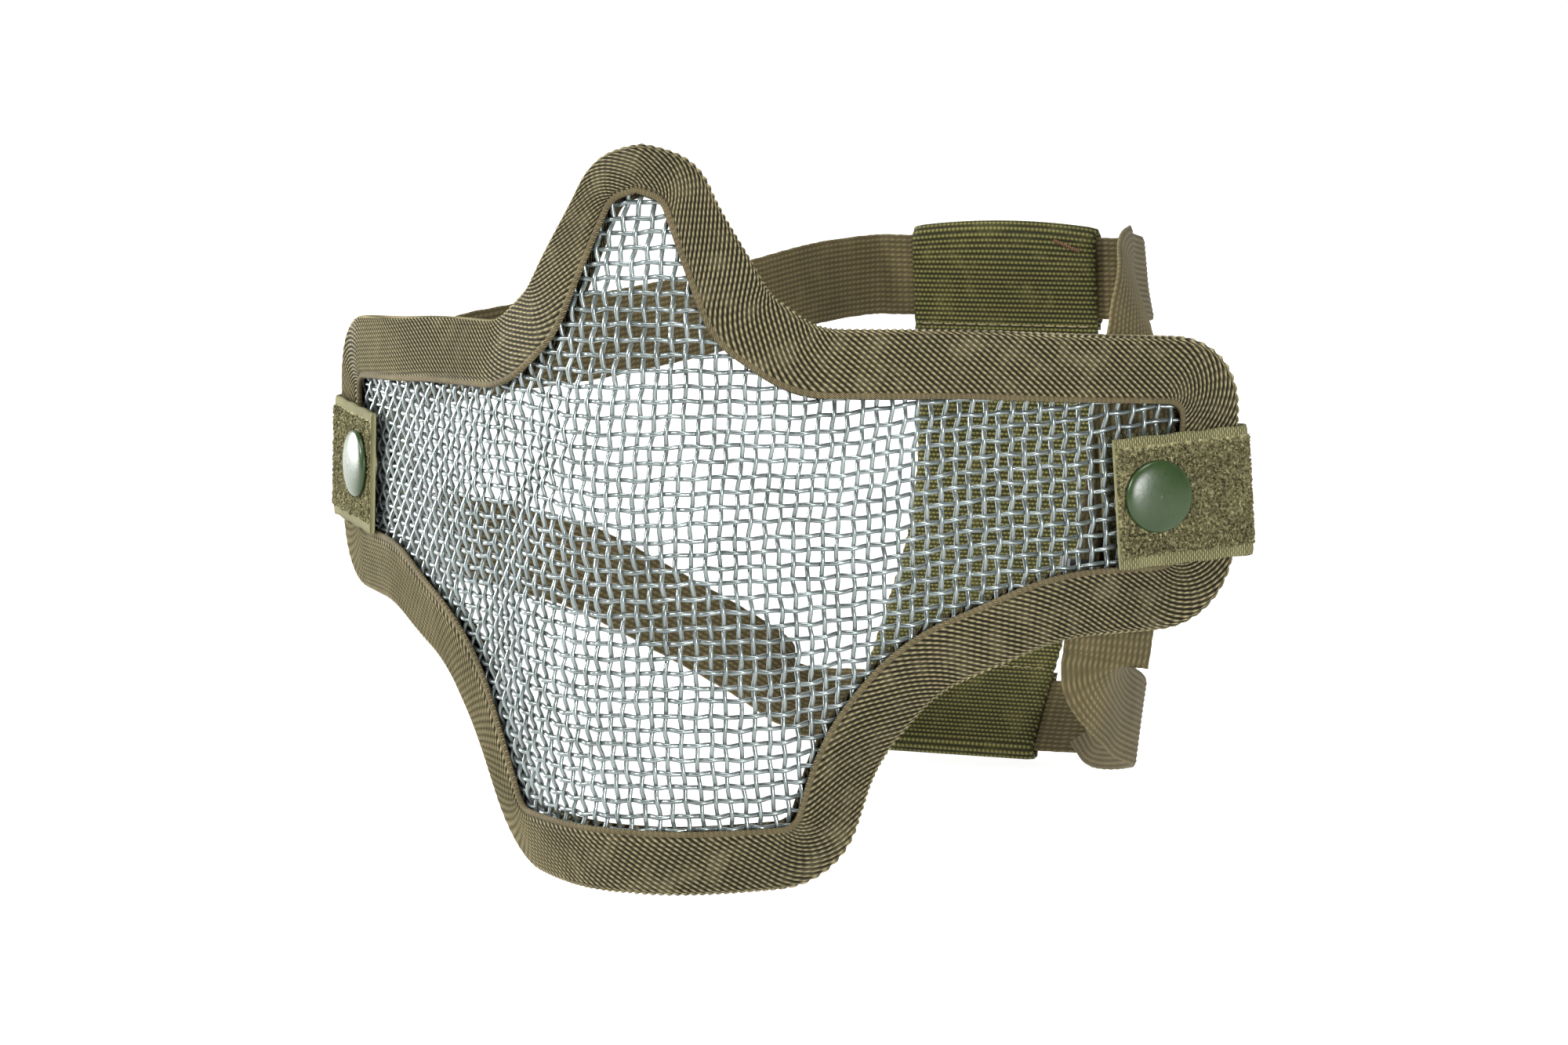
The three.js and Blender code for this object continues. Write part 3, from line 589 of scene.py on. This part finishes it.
# ---------- straps ----------
STRAP_WIDTH, STRAP_THICK = 20, 1.4
STRAP_ROWS = 16
ROW_STEPS = 3
STRAP_STEP = 1.2
STRAP_STITCH, STRAP_RELIEF = 1.6, 0.1
GAP = 0.3
FLAP_LOW = TAPE_FACE + GAP
FLAP_TOP = FLAP_LOW + STRAP_THICK
PAD_WIDTH, PAD_THICK, PAD_TRAVEL, TUNNEL_PLAY = 48, 1.8, 6, 0.6
SNAP_AT, SNAP_Z = 112.5, 73


def vec(x, y, z):
    return np.array([x, y, z], float)


tab_middle = mask_point(np.array([SNAP_AT]), np.array([float(TAB_Z)]), np.zeros(1))
tab_origin, tab_out = (v[0] for v in tab_middle)
tab_forward = vec(tab_out[1], -tab_out[0], 0)
tab_forward /= np.linalg.norm(tab_forward)
tab_up = np.cross(tab_forward, tab_out)


def tab_point(forward, out, z):
    """Points in the left tab's own directions: forwards, outwards and the height z."""
    steps = [np.asarray(v, float)[..., None] for v in (forward, out, np.asarray(z) - TAB_Z)]
    return tab_origin + steps[0] * tab_forward + steps[1] * tab_out + steps[2] * tab_up


def flip(v):
    return v * np.array([-1, 1, 1])


sewn_out = -FLAP_TOP - GAP - STRAP_THICK / 2
under_out = sewn_out - STRAP_THICK - GAP


def upper_end(foot):
    return [(tab_point(0, sewn_out, z), tab_out) for z in (foot, 80, 86, 89)]


def lower_end(top, foot):
    down = (foot - top) / np.linalg.norm(foot - top)
    out = tab_out - down * (tab_out @ down)
    out /= np.linalg.norm(out)
    return [(top + (foot - top) * share, out) for share in (0, 0.25, 0.92, 1)]


def on_right(ends):
    return [(flip(p), flip(out)) for p, out in ends]


left_end = lower_end(tab_point(0, under_out, 80), tab_point(8, under_out - 2.4, 36))
right_end = lower_end(tab_point(6, under_out, 76), tab_point(-20, under_out - 8, 54))

PAD_TOP_Z, PAD_UPPER_LENGTH, PAD_BEND_RADIUS, PAD_LOWER_LENGTH = 106, 46, 50, 52
PAD_BEND_ANGLE = math.radians(48)
STRAP_BACK_Y = 226
behind_pad = PAD_THICK / 2 + GAP + STRAP_THICK / 2
upper_z = PAD_TOP_Z - PAD_THICK - TUNNEL_PLAY - STRAP_WIDTH / 2
pad_top = np.array([STRAP_BACK_Y - behind_pad, PAD_TOP_Z])
pad_bend_centre = pad_top + np.array([-PAD_BEND_RADIUS, -PAD_UPPER_LENGTH])
pad_tuck = -np.array([math.sin(PAD_BEND_ANGLE), math.cos(PAD_BEND_ANGLE)])
pad_tuck_out = np.array([math.cos(PAD_BEND_ANGLE), -math.sin(PAD_BEND_ANGLE)])
pad_foot = pad_bend_centre + pad_tuck_out * PAD_BEND_RADIUS + pad_tuck * PAD_LOWER_LENGTH
tuck_depth = PAD_THICK + TUNNEL_PLAY + STRAP_WIDTH / 2
lower_middle = pad_foot - pad_tuck * tuck_depth + pad_tuck_out * behind_pad


def back_run(y, z, outward, run_on):
    straight = PAD_WIDTH / 2 + PAD_TRAVEL
    stops = [straight + run_on, straight, PAD_WIDTH / 3]
    return [(vec(x, y, z), outward) for x in [-s for s in stops] + [0] + stops[::-1]]


upper_left = upper_end(66) + [
    (vec(84, 81, 101), vec(0.86, -0.5, 0.1)), (vec(76.5, 100, 110), vec(0.93, 0.2, 0.3)),
    (vec(61, 143, 108), vec(0.93, 0.36, 0)), (vec(48, 182, 101), vec(0.9, 0.43, 0)),
    (vec(41, 211, 96), vec(0.75, 0.66, 0)),
]
upper_right = on_right(upper_end(74)) + [
    (vec(-81, 78, 93), vec(-0.9, -0.3, 0.1)), (vec(-73, 97, 94), vec(-0.93, 0.3, 0)),
    (vec(-63, 125, 93), vec(-0.92, 0.39, 0)), (vec(-51, 168, 93), vec(-0.9, 0.43, 0)),
    (vec(-42, 208, 94), vec(-0.75, 0.66, 0)),
]
lower_left = left_end + [
    (vec(76, 84, 23), vec(0.94, 0.2, -0.2)), (vec(72, 108, 14), vec(0.86, 0.5, -0.2)),
    (vec(62, 134, 6), vec(0.7, 0.65, -0.3)), (vec(47, 160, -2), vec(0.4, 0.75, -0.5)),
]
lower_right = on_right(right_end) + [
    (vec(-86, 106, 47), vec(-0.95, 0.25, -0.1)), (vec(-72, 122, 39.5), vec(-0.85, 0.5, -0.1)),
    (vec(-57, 144, 23.5), vec(-0.8, 0.55, -0.2)), (vec(-43, 165, 6.5), vec(-0.5, 0.75, -0.4)),
]
upper_back = back_run(STRAP_BACK_Y, upper_z, vec(0, 1, 0), 4)
lower_back = back_run(*lower_middle, vec(0, *pad_tuck_out), 8)
upper_route = upper_right + upper_back + upper_left[::-1]
lower_route = lower_right + lower_back + lower_left[::-1]


def curve_span(points, span, t):
    """A span of the centripetal curve through points, and its direction, at shares t of the span."""
    ends = [2 * points[0] - points[1], *points, 2 * points[-1] - points[-2]]
    p = ends[span:span + 4]
    d = [math.sqrt(np.linalg.norm(p[k + 1] - p[k])) for k in range(3)]
    t1 = d[1] * ((p[1] - p[0]) / d[0] - (p[2] - p[0]) / (d[0] + d[1]) + (p[2] - p[1]) / d[1])
    t2 = d[1] * ((p[2] - p[1]) / d[1] - (p[3] - p[1]) / (d[1] + d[2]) + (p[3] - p[2]) / d[2])
    c2, c3 = 3 * (p[2] - p[1]) - 2 * t1 - t2, 2 * (p[1] - p[2]) + t1 + t2
    t = t[:, None]
    return p[1] + t1 * t + c2 * t * t + c3 * t ** 3, t1 + 2 * c2 * t + 3 * c3 * t * t


def build_strap(name, route):
    points = [p for p, _ in route]
    middles, alongs, outs = [], [], []
    for span in range(len(route) - 1):
        steps = max(2, round(np.linalg.norm(points[span + 1] - points[span]) / STRAP_STEP))
        t = np.linspace(0, 1, steps + 1)[: None if span == len(route) - 2 else -1]
        middle, along = curve_span(points, span, t)
        share = smooth_step(t)[:, None]
        middles.append(middle)
        alongs.append(along)
        outs.append(route[span][1] * (1 - share) + route[span + 1][1] * share)
    middle, along, out = (np.concatenate(v) for v in (middles, alongs, outs))
    along /= np.linalg.norm(along, axis=1, keepdims=True)
    out -= along * (out * along).sum(axis=1, keepdims=True)
    out /= np.linalg.norm(out, axis=1, keepdims=True)
    across = np.cross(out, along)
    run = np.concatenate([[0], np.cumsum(np.linalg.norm(np.diff(middle, axis=0), axis=1))])
    count = STRAP_ROWS * ROW_STEPS
    rows = np.linspace(-0.5, 0.5, count + 1)
    relief = STRAP_RELIEF * np.cos(math.tau * rows * STRAP_ROWS)
    edge = STRAP_THICK / 2 * np.sqrt(np.clip(1 - (np.abs(rows) * 2) ** 24, 0.1, 1))
    top = list(zip(rows, edge - STRAP_RELIEF + relief))
    section = top + [(r, -h) for r, h in reversed(top)]
    ruffle = 1 + 0.006 * np.sin(math.tau * run / STRAP_STITCH)
    shape = [
        middle + across * (r * STRAP_WIDTH * ruffle)[:, None] + out * h for r, h in section
    ]
    grid = np.stack(shape, axis=1)
    faces, ring, spot = grid_faces(len(run), len(section), False, True)
    names = np.array([r * STRAP_ROWS for r, _ in section] + [section[0][0] * STRAP_ROWS])
    uv = np.stack([names[spot], run[ring] / STRAP_STITCH], axis=-1)
    ends = []
    for first, order in ((0, 1), ((len(run) - 1) * len(section), -1)):
        for k in range(count):
            quad = [k, k + 1, 2 * count - k, 2 * count + 1 - k]
            ends.append([first + q for q in quad][::order])
    quads = np.concatenate([faces, np.array(ends)])
    uv = np.concatenate([uv, np.zeros((len(ends), 4, 2))])
    strap = make_piece(name, grid.reshape(-1, 3), quads, strap_look, uv)
    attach(strap, "mask")
    return strap, float(run[-1])


for name, route in (("upper_strap", upper_route), ("lower_strap", lower_route)):
    strap, length = build_strap(name + "_elastic", route)
    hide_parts(name)


# ---------- back pad ----------
PAD_RIB = 1.15
PAD_RELIEF = 0.15
PAD_ARCH = 1.6  # the top edge bows up between the straps' pulls
PAD_COLUMNS = 24
PAD_STITCH = 1.1
SEAM_RADIUS, TACK_RADIUS = 0.16, 0.2
SEAM_STITCHES, TACK_STITCHES = 15, 27


def pad_path():
    """The webbing's middle from seam to seam, as (y, z)."""
    slot_deep = STRAP_THICK + 2 * GAP
    tunnel = STRAP_WIDTH + 2 * TUNNEL_PLAY + 2 * PAD_THICK
    rear = PAD_THICK + slot_deep
    turn = rear / 2
    end = PAD_THICK / 2 + turn

    def upper(down, out):
        return pad_top + np.array([out, -down])

    def lower(up, out):
        return pad_foot - pad_tuck * up + pad_tuck_out * out

    arc = np.linspace(0, math.pi, 9)
    side = [(tunnel, PAD_THICK + 0.1), (tunnel - 2.4, rear)]
    side += [(end - turn * math.sin(a), turn + turn * math.cos(a)) for a in arc]
    bend = [
        pad_bend_centre + PAD_BEND_RADIUS * np.array([math.cos(a), -math.sin(a)])
        for a in np.linspace(0, PAD_BEND_ANGLE, 25)
    ]
    return np.array([upper(*s) for s in side] + bend + [lower(*s) for s in reversed(side)])


def build_pad():
    path = pad_path()
    run = np.concatenate([[0], np.cumsum(np.linalg.norm(np.diff(path, axis=0), axis=1))])
    count = round(run[-1] / PAD_RIB) * STEPS_PER_RIB
    spots = np.linspace(0, run[-1], count + 1)
    line = np.stack([np.interp(spots, run, path[:, k]) for k in (0, 1)], axis=1)
    kernel = np.ones(5) / 5
    inner = np.stack([np.convolve(line[:, k], kernel, "valid") for k in (0, 1)], axis=1)
    line[2:-2] = inner
    along = np.gradient(line, axis=0)
    along /= np.linalg.norm(along, axis=1, keepdims=True)
    out = np.stack([-along[:, 1], along[:, 0]], axis=1)
    rib = PAD_RELIEF * np.cos(math.tau * np.arange(count + 1) / STEPS_PER_RIB)
    across = np.linspace(-0.5, 0.5, PAD_COLUMNS + 1)
    thick = PAD_THICK / 2 - PAD_RELIEF
    section = [(a, 1) for a in across] + [(a, -1) for a in reversed(across)]
    columns = []
    for share, side in section:
        rounded = 0.75 if abs(share) == 0.5 else 1
        place = line + out * (side * rounded * (thick + rib))[:, None]
        x = share * (PAD_WIDTH - 0.4) + 0.12 * np.sign(share) * (abs(share) == 0.5) * np.cos(spots * 2.2)
        arch = PAD_ARCH * (1 - 4 * share * share) * smooth_step((place[:, 1] - PAD_TOP_Z + 12) / 12)
        x = np.broadcast_to(x, place[:, 0].shape)
        columns.append(np.stack([x, place[:, 0], place[:, 1] + arch], axis=1))
    grid = np.stack(columns, axis=1)
    faces, ring, spot = grid_faces(count + 1, len(section), False, True)
    stitch = np.array([s for s, _ in section + section[:1]]) * PAD_WIDTH / PAD_STITCH
    uv = np.stack([ring / STEPS_PER_RIB, stitch[spot]], axis=-1)
    ends = []
    for first, order in ((0, 1), (count * len(section), -1)):
        for k in range(PAD_COLUMNS):
            quad = [k, k + 1, 2 * PAD_COLUMNS - k, 2 * PAD_COLUMNS + 1 - k]
            ends.append([first + q for q in quad][::order])
    quads = np.concatenate([faces, np.array(ends)])
    uv = np.concatenate([uv, np.zeros((len(ends), 4, 2))])
    pad = make_piece("back_pad_webbing", grid.reshape(-1, 3), quads, pad_look, uv)
    return pad, float(run[-1])


pad, pad_length = build_pad()
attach(pad, "pad")
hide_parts("back_pad")


def stitch_row(start, end, normal, count, rise=0.35):
    """A row of separate stitches, each a small arch of thread."""
    start, end = np.asarray(start, float), np.asarray(end, float)
    lines = []
    for k in range(count):
        t = (k + np.linspace(0.12, 0.88, 6)) / count
        arch = np.sin(np.linspace(0, math.pi, 6)) * rise - 0.15
        line = start + (end - start) * t[:, None] + np.asarray(normal) * arch[:, None]
        lines.append((line, np.tile(normal, (6, 1))))
    return lines


def pad_stitches():
    tunnel = STRAP_WIDTH + 2 * TUNNEL_PLAY + 2 * PAD_THICK
    half = PAD_WIDTH / 2 - 2
    front = PAD_THICK / 2
    seams = [(pad_top + np.array([-front, -tunnel + 0.8]), np.array([-1, 0]))]
    seams.append((pad_foot - pad_tuck * (tunnel - 0.8) - pad_tuck_out * front, -pad_tuck_out))
    lines = []
    for place, out in seams:
        lines += stitch_row(vec(-half, *place), vec(half, *place), vec(0, *out), SEAM_STITCHES)
    return lines


def bar_tack():
    """Brown zigzag of thread near the top corner of the pad."""
    y = pad_top[0] - PAD_THICK / 2 - 0.05
    z = PAD_TOP_Z - 3.2
    spots = np.arange(TACK_STITCHES)
    x = 13.5 + spots * 0.25
    z = z - 0.1 * spots + 0.8 * (spots % 2)
    line = np.stack([x, np.full(TACK_STITCHES, y), z], axis=1)
    return [(line, np.tile(vec(0, -1, 0), (TACK_STITCHES, 1)))]


seams = tubes("pad_stitches", pad_stitches(), SEAM_RADIUS, 5, thread_look)
tack = tubes("pad_bar_tack", bar_tack(), TACK_RADIUS, 5, tack_look)
for sewn in (seams, tack):
    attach(sewn, "pad")


# ---------- side tabs ----------
TAB_HEIGHT, TAB_THICK, TAB_FRONT = 27, 1.4, 103.5
SELVEDGE = 2.4
TAB_ROWS = 30
FOLD_INSET = 0.1
tape_rear = outline + outline_out * tape_width(outline[:, 1])[:, None]
fold_x = SNAP_AT - tape_rear[:, 0].max() + FOLD_INSET
hinge_x = fold_x + TAB_THICK
front_x = SNAP_AT - TAB_FRONT
strip_mid = (FLAP_LOW + FLAP_TOP) / 2
CAP_RADIUS, CAP_HEIGHT, CAP_FOOT = 7.5, 2.2, 0.4
STRIP_ROW, STRIP_STITCH = 0.5, 1.3


def tab_paths():
    """The strip's middle, as (forward, out): under the mask to the fold, and on over the flap."""
    turn = np.linspace(-math.pi / 2, 0, 9)
    under = [(front_x - k, -strip_mid) for k in np.linspace(0, front_x - fold_x, 24)[:-1]]
    under += [(fold_x - strip_mid * math.cos(a), strip_mid * math.sin(a)) for a in turn]
    over = [(fold_x - strip_mid * math.cos(a), strip_mid * math.sin(a)) for a in turn + math.pi / 2]
    over += [(fold_x + k, strip_mid) for k in np.linspace(0, front_x - fold_x, 32)[1:]]
    return np.array(under), np.array(over)


def build_strip(name, path, mirror):
    along = np.gradient(path, axis=0)
    along /= np.linalg.norm(along, axis=1, keepdims=True)
    out = np.stack([-along[:, 1], along[:, 0]], axis=1)
    heights = np.linspace(-0.5, 0.5, TAB_ROWS + 1)
    half = TAB_THICK / 2 - 0.1
    section = [(h, 1) for h in heights] + [(h, -1) for h in reversed(heights)]
    columns = []
    for h, side in section:
        place = path + out * side * half * (0.7 if abs(h) == 0.5 else 1)
        z = TAB_Z + h * TAB_HEIGHT + 0.12 * np.sin(path[:, 0] * 0.7) * (abs(h) == 0.5)
        columns.append(tab_point(place[:, 0], place[:, 1], z))
    grid = np.stack(columns, axis=1)
    faces, ring, spot = grid_faces(len(path), len(section), False, True)
    ends = []
    for first, order in ((0, 1), ((len(path) - 1) * len(section), -1)):
        for k in range(TAB_ROWS):
            quad = [k, k + 1, 2 * TAB_ROWS - k, 2 * TAB_ROWS + 1 - k]
            ends.append([first + q for q in quad][::order])
    run = np.concatenate([[0], np.cumsum(np.linalg.norm(np.diff(path, axis=0), axis=1))])
    stitch = np.array([h for h, _ in section + section[:1]]) * TAB_HEIGHT / STRIP_STITCH
    uv = np.stack([run[ring] / STRIP_ROW, stitch[spot]], axis=-1)
    uv = np.concatenate([uv, np.zeros((len(ends), 4, 2))])
    quads = np.concatenate([faces, np.array(ends)])
    points = grid.reshape(-1, 3)
    if mirror:
        points, quads, uv = flip(points), quads[:, ::-1], uv[:, ::-1]
    strip = make_piece(name, points, quads, strip_look, uv)
    strip.data.materials.append(pile_look)
    place = heights[np.minimum(np.arange(len(section)) % (TAB_ROWS + 1), TAB_ROWS)]
    bare = 0.5 - SELVEDGE / TAB_HEIGHT
    middle = np.abs(place[spot.min(axis=1)]) < bare
    looks = np.concatenate([middle, np.zeros(len(ends), bool)]).astype(np.int32)
    strip.data.polygons.foreach_set("material_index", looks)
    return strip, float(run[-1])


PILE_LOOPS, LOOP_POINTS, LOOP_RADIUS = 5600, 5, 0.11


def pile(name, path, mirror):
    """Loops of yarn over the middle of the strip's outer face, none of them under the cap."""
    run = np.concatenate([[0], np.cumsum(np.linalg.norm(np.diff(path, axis=0), axis=1))])
    lines = []
    for _ in range(PILE_LOOPS):
        spot = draw.uniform(0.3, run[-1] - 0.5)
        z = TAB_Z + draw.uniform(-1, 1) * (TAB_HEIGHT / 2 - SELVEDGE)
        place = np.array([np.interp(spot, run, path[:, k]) for k in (0, 1)])
        ahead = np.array([np.interp(spot + 0.5, run, path[:, k]) for k in (0, 1)]) - place
        ahead /= max(np.linalg.norm(ahead), 1e-9)
        outward = np.array([-ahead[1], ahead[0]])
        wide, tall, angle = draw.uniform(0.5, 1.1), draw.uniform(0.25, 0.65), draw.uniform(0, math.pi)
        lean = draw.normal(0, 0.2, 2)
        if math.hypot(place[0], z - SNAP_Z) < CAP_RADIUS + 0.3 and place[1] > 0:
            continue
        t = np.linspace(-1, 1, LOOP_POINTS)
        rise = TAB_THICK / 2 - 0.2 + tall * (1 - t * t)
        step = t * wide * math.cos(angle) / 2 + lean[0] * (1 - t * t)
        up = t * wide * math.sin(angle) / 2 + lean[1] * (1 - t * t)
        flat = place + ahead * step[:, None] + outward * rise[:, None]
        line = tab_point(flat[:, 0], flat[:, 1], z + up)
        normal = np.tile(tab_point(outward[0], outward[1], TAB_Z) - tab_origin, (LOOP_POINTS, 1))
        normal = normal + 0.3 * tab_up
        if mirror:
            line, normal = flip(line), flip(normal)
        lines.append((line, normal))
    return tubes(name, lines, LOOP_RADIUS, 3, pile_look)


def dome(name, mirror):
    """The snap's painted cap: a shallow dome with a rolled edge."""
    base = FLAP_TOP + GAP
    profile = [(0.02, base + 0.1), (CAP_RADIUS - 0.9, base + 0.1), (CAP_RADIUS - 0.3, base)]
    profile += [(CAP_RADIUS, base + 0.35), (CAP_RADIUS - 0.1, base + 0.75)]
    for a in np.linspace(0.18, 1, 14):
        angle = a * math.pi / 2
        rise = base + CAP_FOOT + (CAP_HEIGHT - CAP_FOOT) * math.sin(angle) ** 0.8
        profile.append((CAP_RADIUS * math.cos(angle) + 0.01, rise))
    turns = 72
    angles = np.arange(turns) * math.tau / turns
    rings = [
        tab_point(r * np.cos(angles), np.full(turns, out), SNAP_Z + r * np.sin(angles))
        for r, out in profile
    ]
    points = np.concatenate(rings)
    faces, _, _ = grid_faces(len(profile), turns, False, True)
    faces = faces.tolist() + [list(range(turns)), list(range(len(points) - turns, len(points)))[::-1]]
    if mirror:
        points, faces = flip(points), [f[::-1] for f in faces]
    return make_piece(name, points, faces, cap_look)


under_path, over_path = tab_paths()
for side, mirror in (("left", False), ("right", True)):
    inner, inner_length = build_strip(f"{side}_tab_inner_strip", under_path, mirror)
    outer, outer_length = build_strip(f"{side}_tab_outer_strip", over_path, mirror)
    loops = pile(f"{side}_tab_pile", over_path, mirror)
    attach(inner, "mask")
    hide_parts(f"{side}_tab_leaf")
    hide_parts(f"{side}_tab_flap")
    turn_back = np.array([[fold_x - 0.6, strip_mid], [hinge_x + 3.4, strip_mid]])
    start, end = (tab_point(f, o, TAB_Z) * MM for f, o in turn_back)
    if mirror:
        start, end = flip(start), flip(end)
    for cloth in (outer, loops):
        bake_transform(cloth)
    cap = dome(f"{side}_cap_dome", mirror)
    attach(cap, f"{side}_flap")
    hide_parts(f"{side}_snap_cap")


# ---------- CAD pieces that keep their shape ----------
def dress(name, material, bevel):
    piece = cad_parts[name]
    piece.data.materials.clear()
    piece.data.materials.append(material)
    softened = piece.modifiers.new("soft_edges", "BEVEL")
    softened.width = bevel * MM
    softened.segments = 3
    softened.limit_method = "ANGLE"
    softened.angle_limit = math.radians(40)
    softened.use_clamp_overlap = True


for side in ("left", "right"):
    dress(f"{side}_strap_slider", black_look, 0.35)
    for part in ("snap_socket", "snap_stud", "snap_eyelet"):
        dress(f"{side}_{part}", bright_look, 0.1)


# ---------- floor and light ----------
def sweep():
    """A pale floor that curves up into a backdrop behind the object."""
    floor_z = cad_box[0][2] - 0.001
    profile = [(-3.0, 0)] + [
        (2.0 + 1.2 * math.sin(a), 1.2 - 1.2 * math.cos(a)) for a in np.linspace(0, math.pi / 2, 16)
    ] + [(3.2, 4.0)]
    points = [(x, y, z + floor_z) for x in (-5.0, 5.0) for y, z in profile]
    count = len(profile)
    faces = [[k, k + 1, count + k + 1, count + k] for k in range(count - 1)]
    material, _, shader = new_material("pale_floor")
    shader.inputs["Base Color"].default_value = (0.5, 0.5, 0.5, 1)
    shader.inputs["Roughness"].default_value = 0.9
    shader.inputs["Emission Color"].default_value = (1, 1, 1, 1)
    shader.inputs["Emission Strength"].default_value = 0.78
    floor = make_piece("pale_floor", np.array(points) / MM, faces, material, closed=False)


def softbox(name, place, aim, size, power):
    data = bpy.data.lights.new(name, "AREA")
    data.size = size
    data.energy = power
    lamp = bpy.data.objects.new(name, data)
    lamp.location = place
    lamp.rotation_euler = (Vector(aim) - Vector(place)).to_track_quat("-Z", "Y").to_euler()
    bpy.context.scene.collection.objects.link(lamp)


sweep()
world = bpy.data.worlds.new("soft_white")
world.use_nodes = True
world.node_tree.nodes["Background"].inputs["Color"].default_value = (1, 1, 1, 1)
world.node_tree.nodes["Background"].inputs["Strength"].default_value = 0.06
bpy.context.scene.world = world
CENTRE = (0, 0.08, 0.07)
softbox("key", (-0.8, -0.75, 0.8), CENTRE, 0.35, 17)
softbox("side", (-1.15, 0.2, 0.3), CENTRE, 0.6, 26)
softbox("fill", (0.9, -0.75, 0.3), CENTRE, 0.4, 16)
softbox("top", (0.1, -0.1, 1.2), CENTRE, 0.5, 9)
bpy.context.scene.view_settings.view_transform = "Standard"
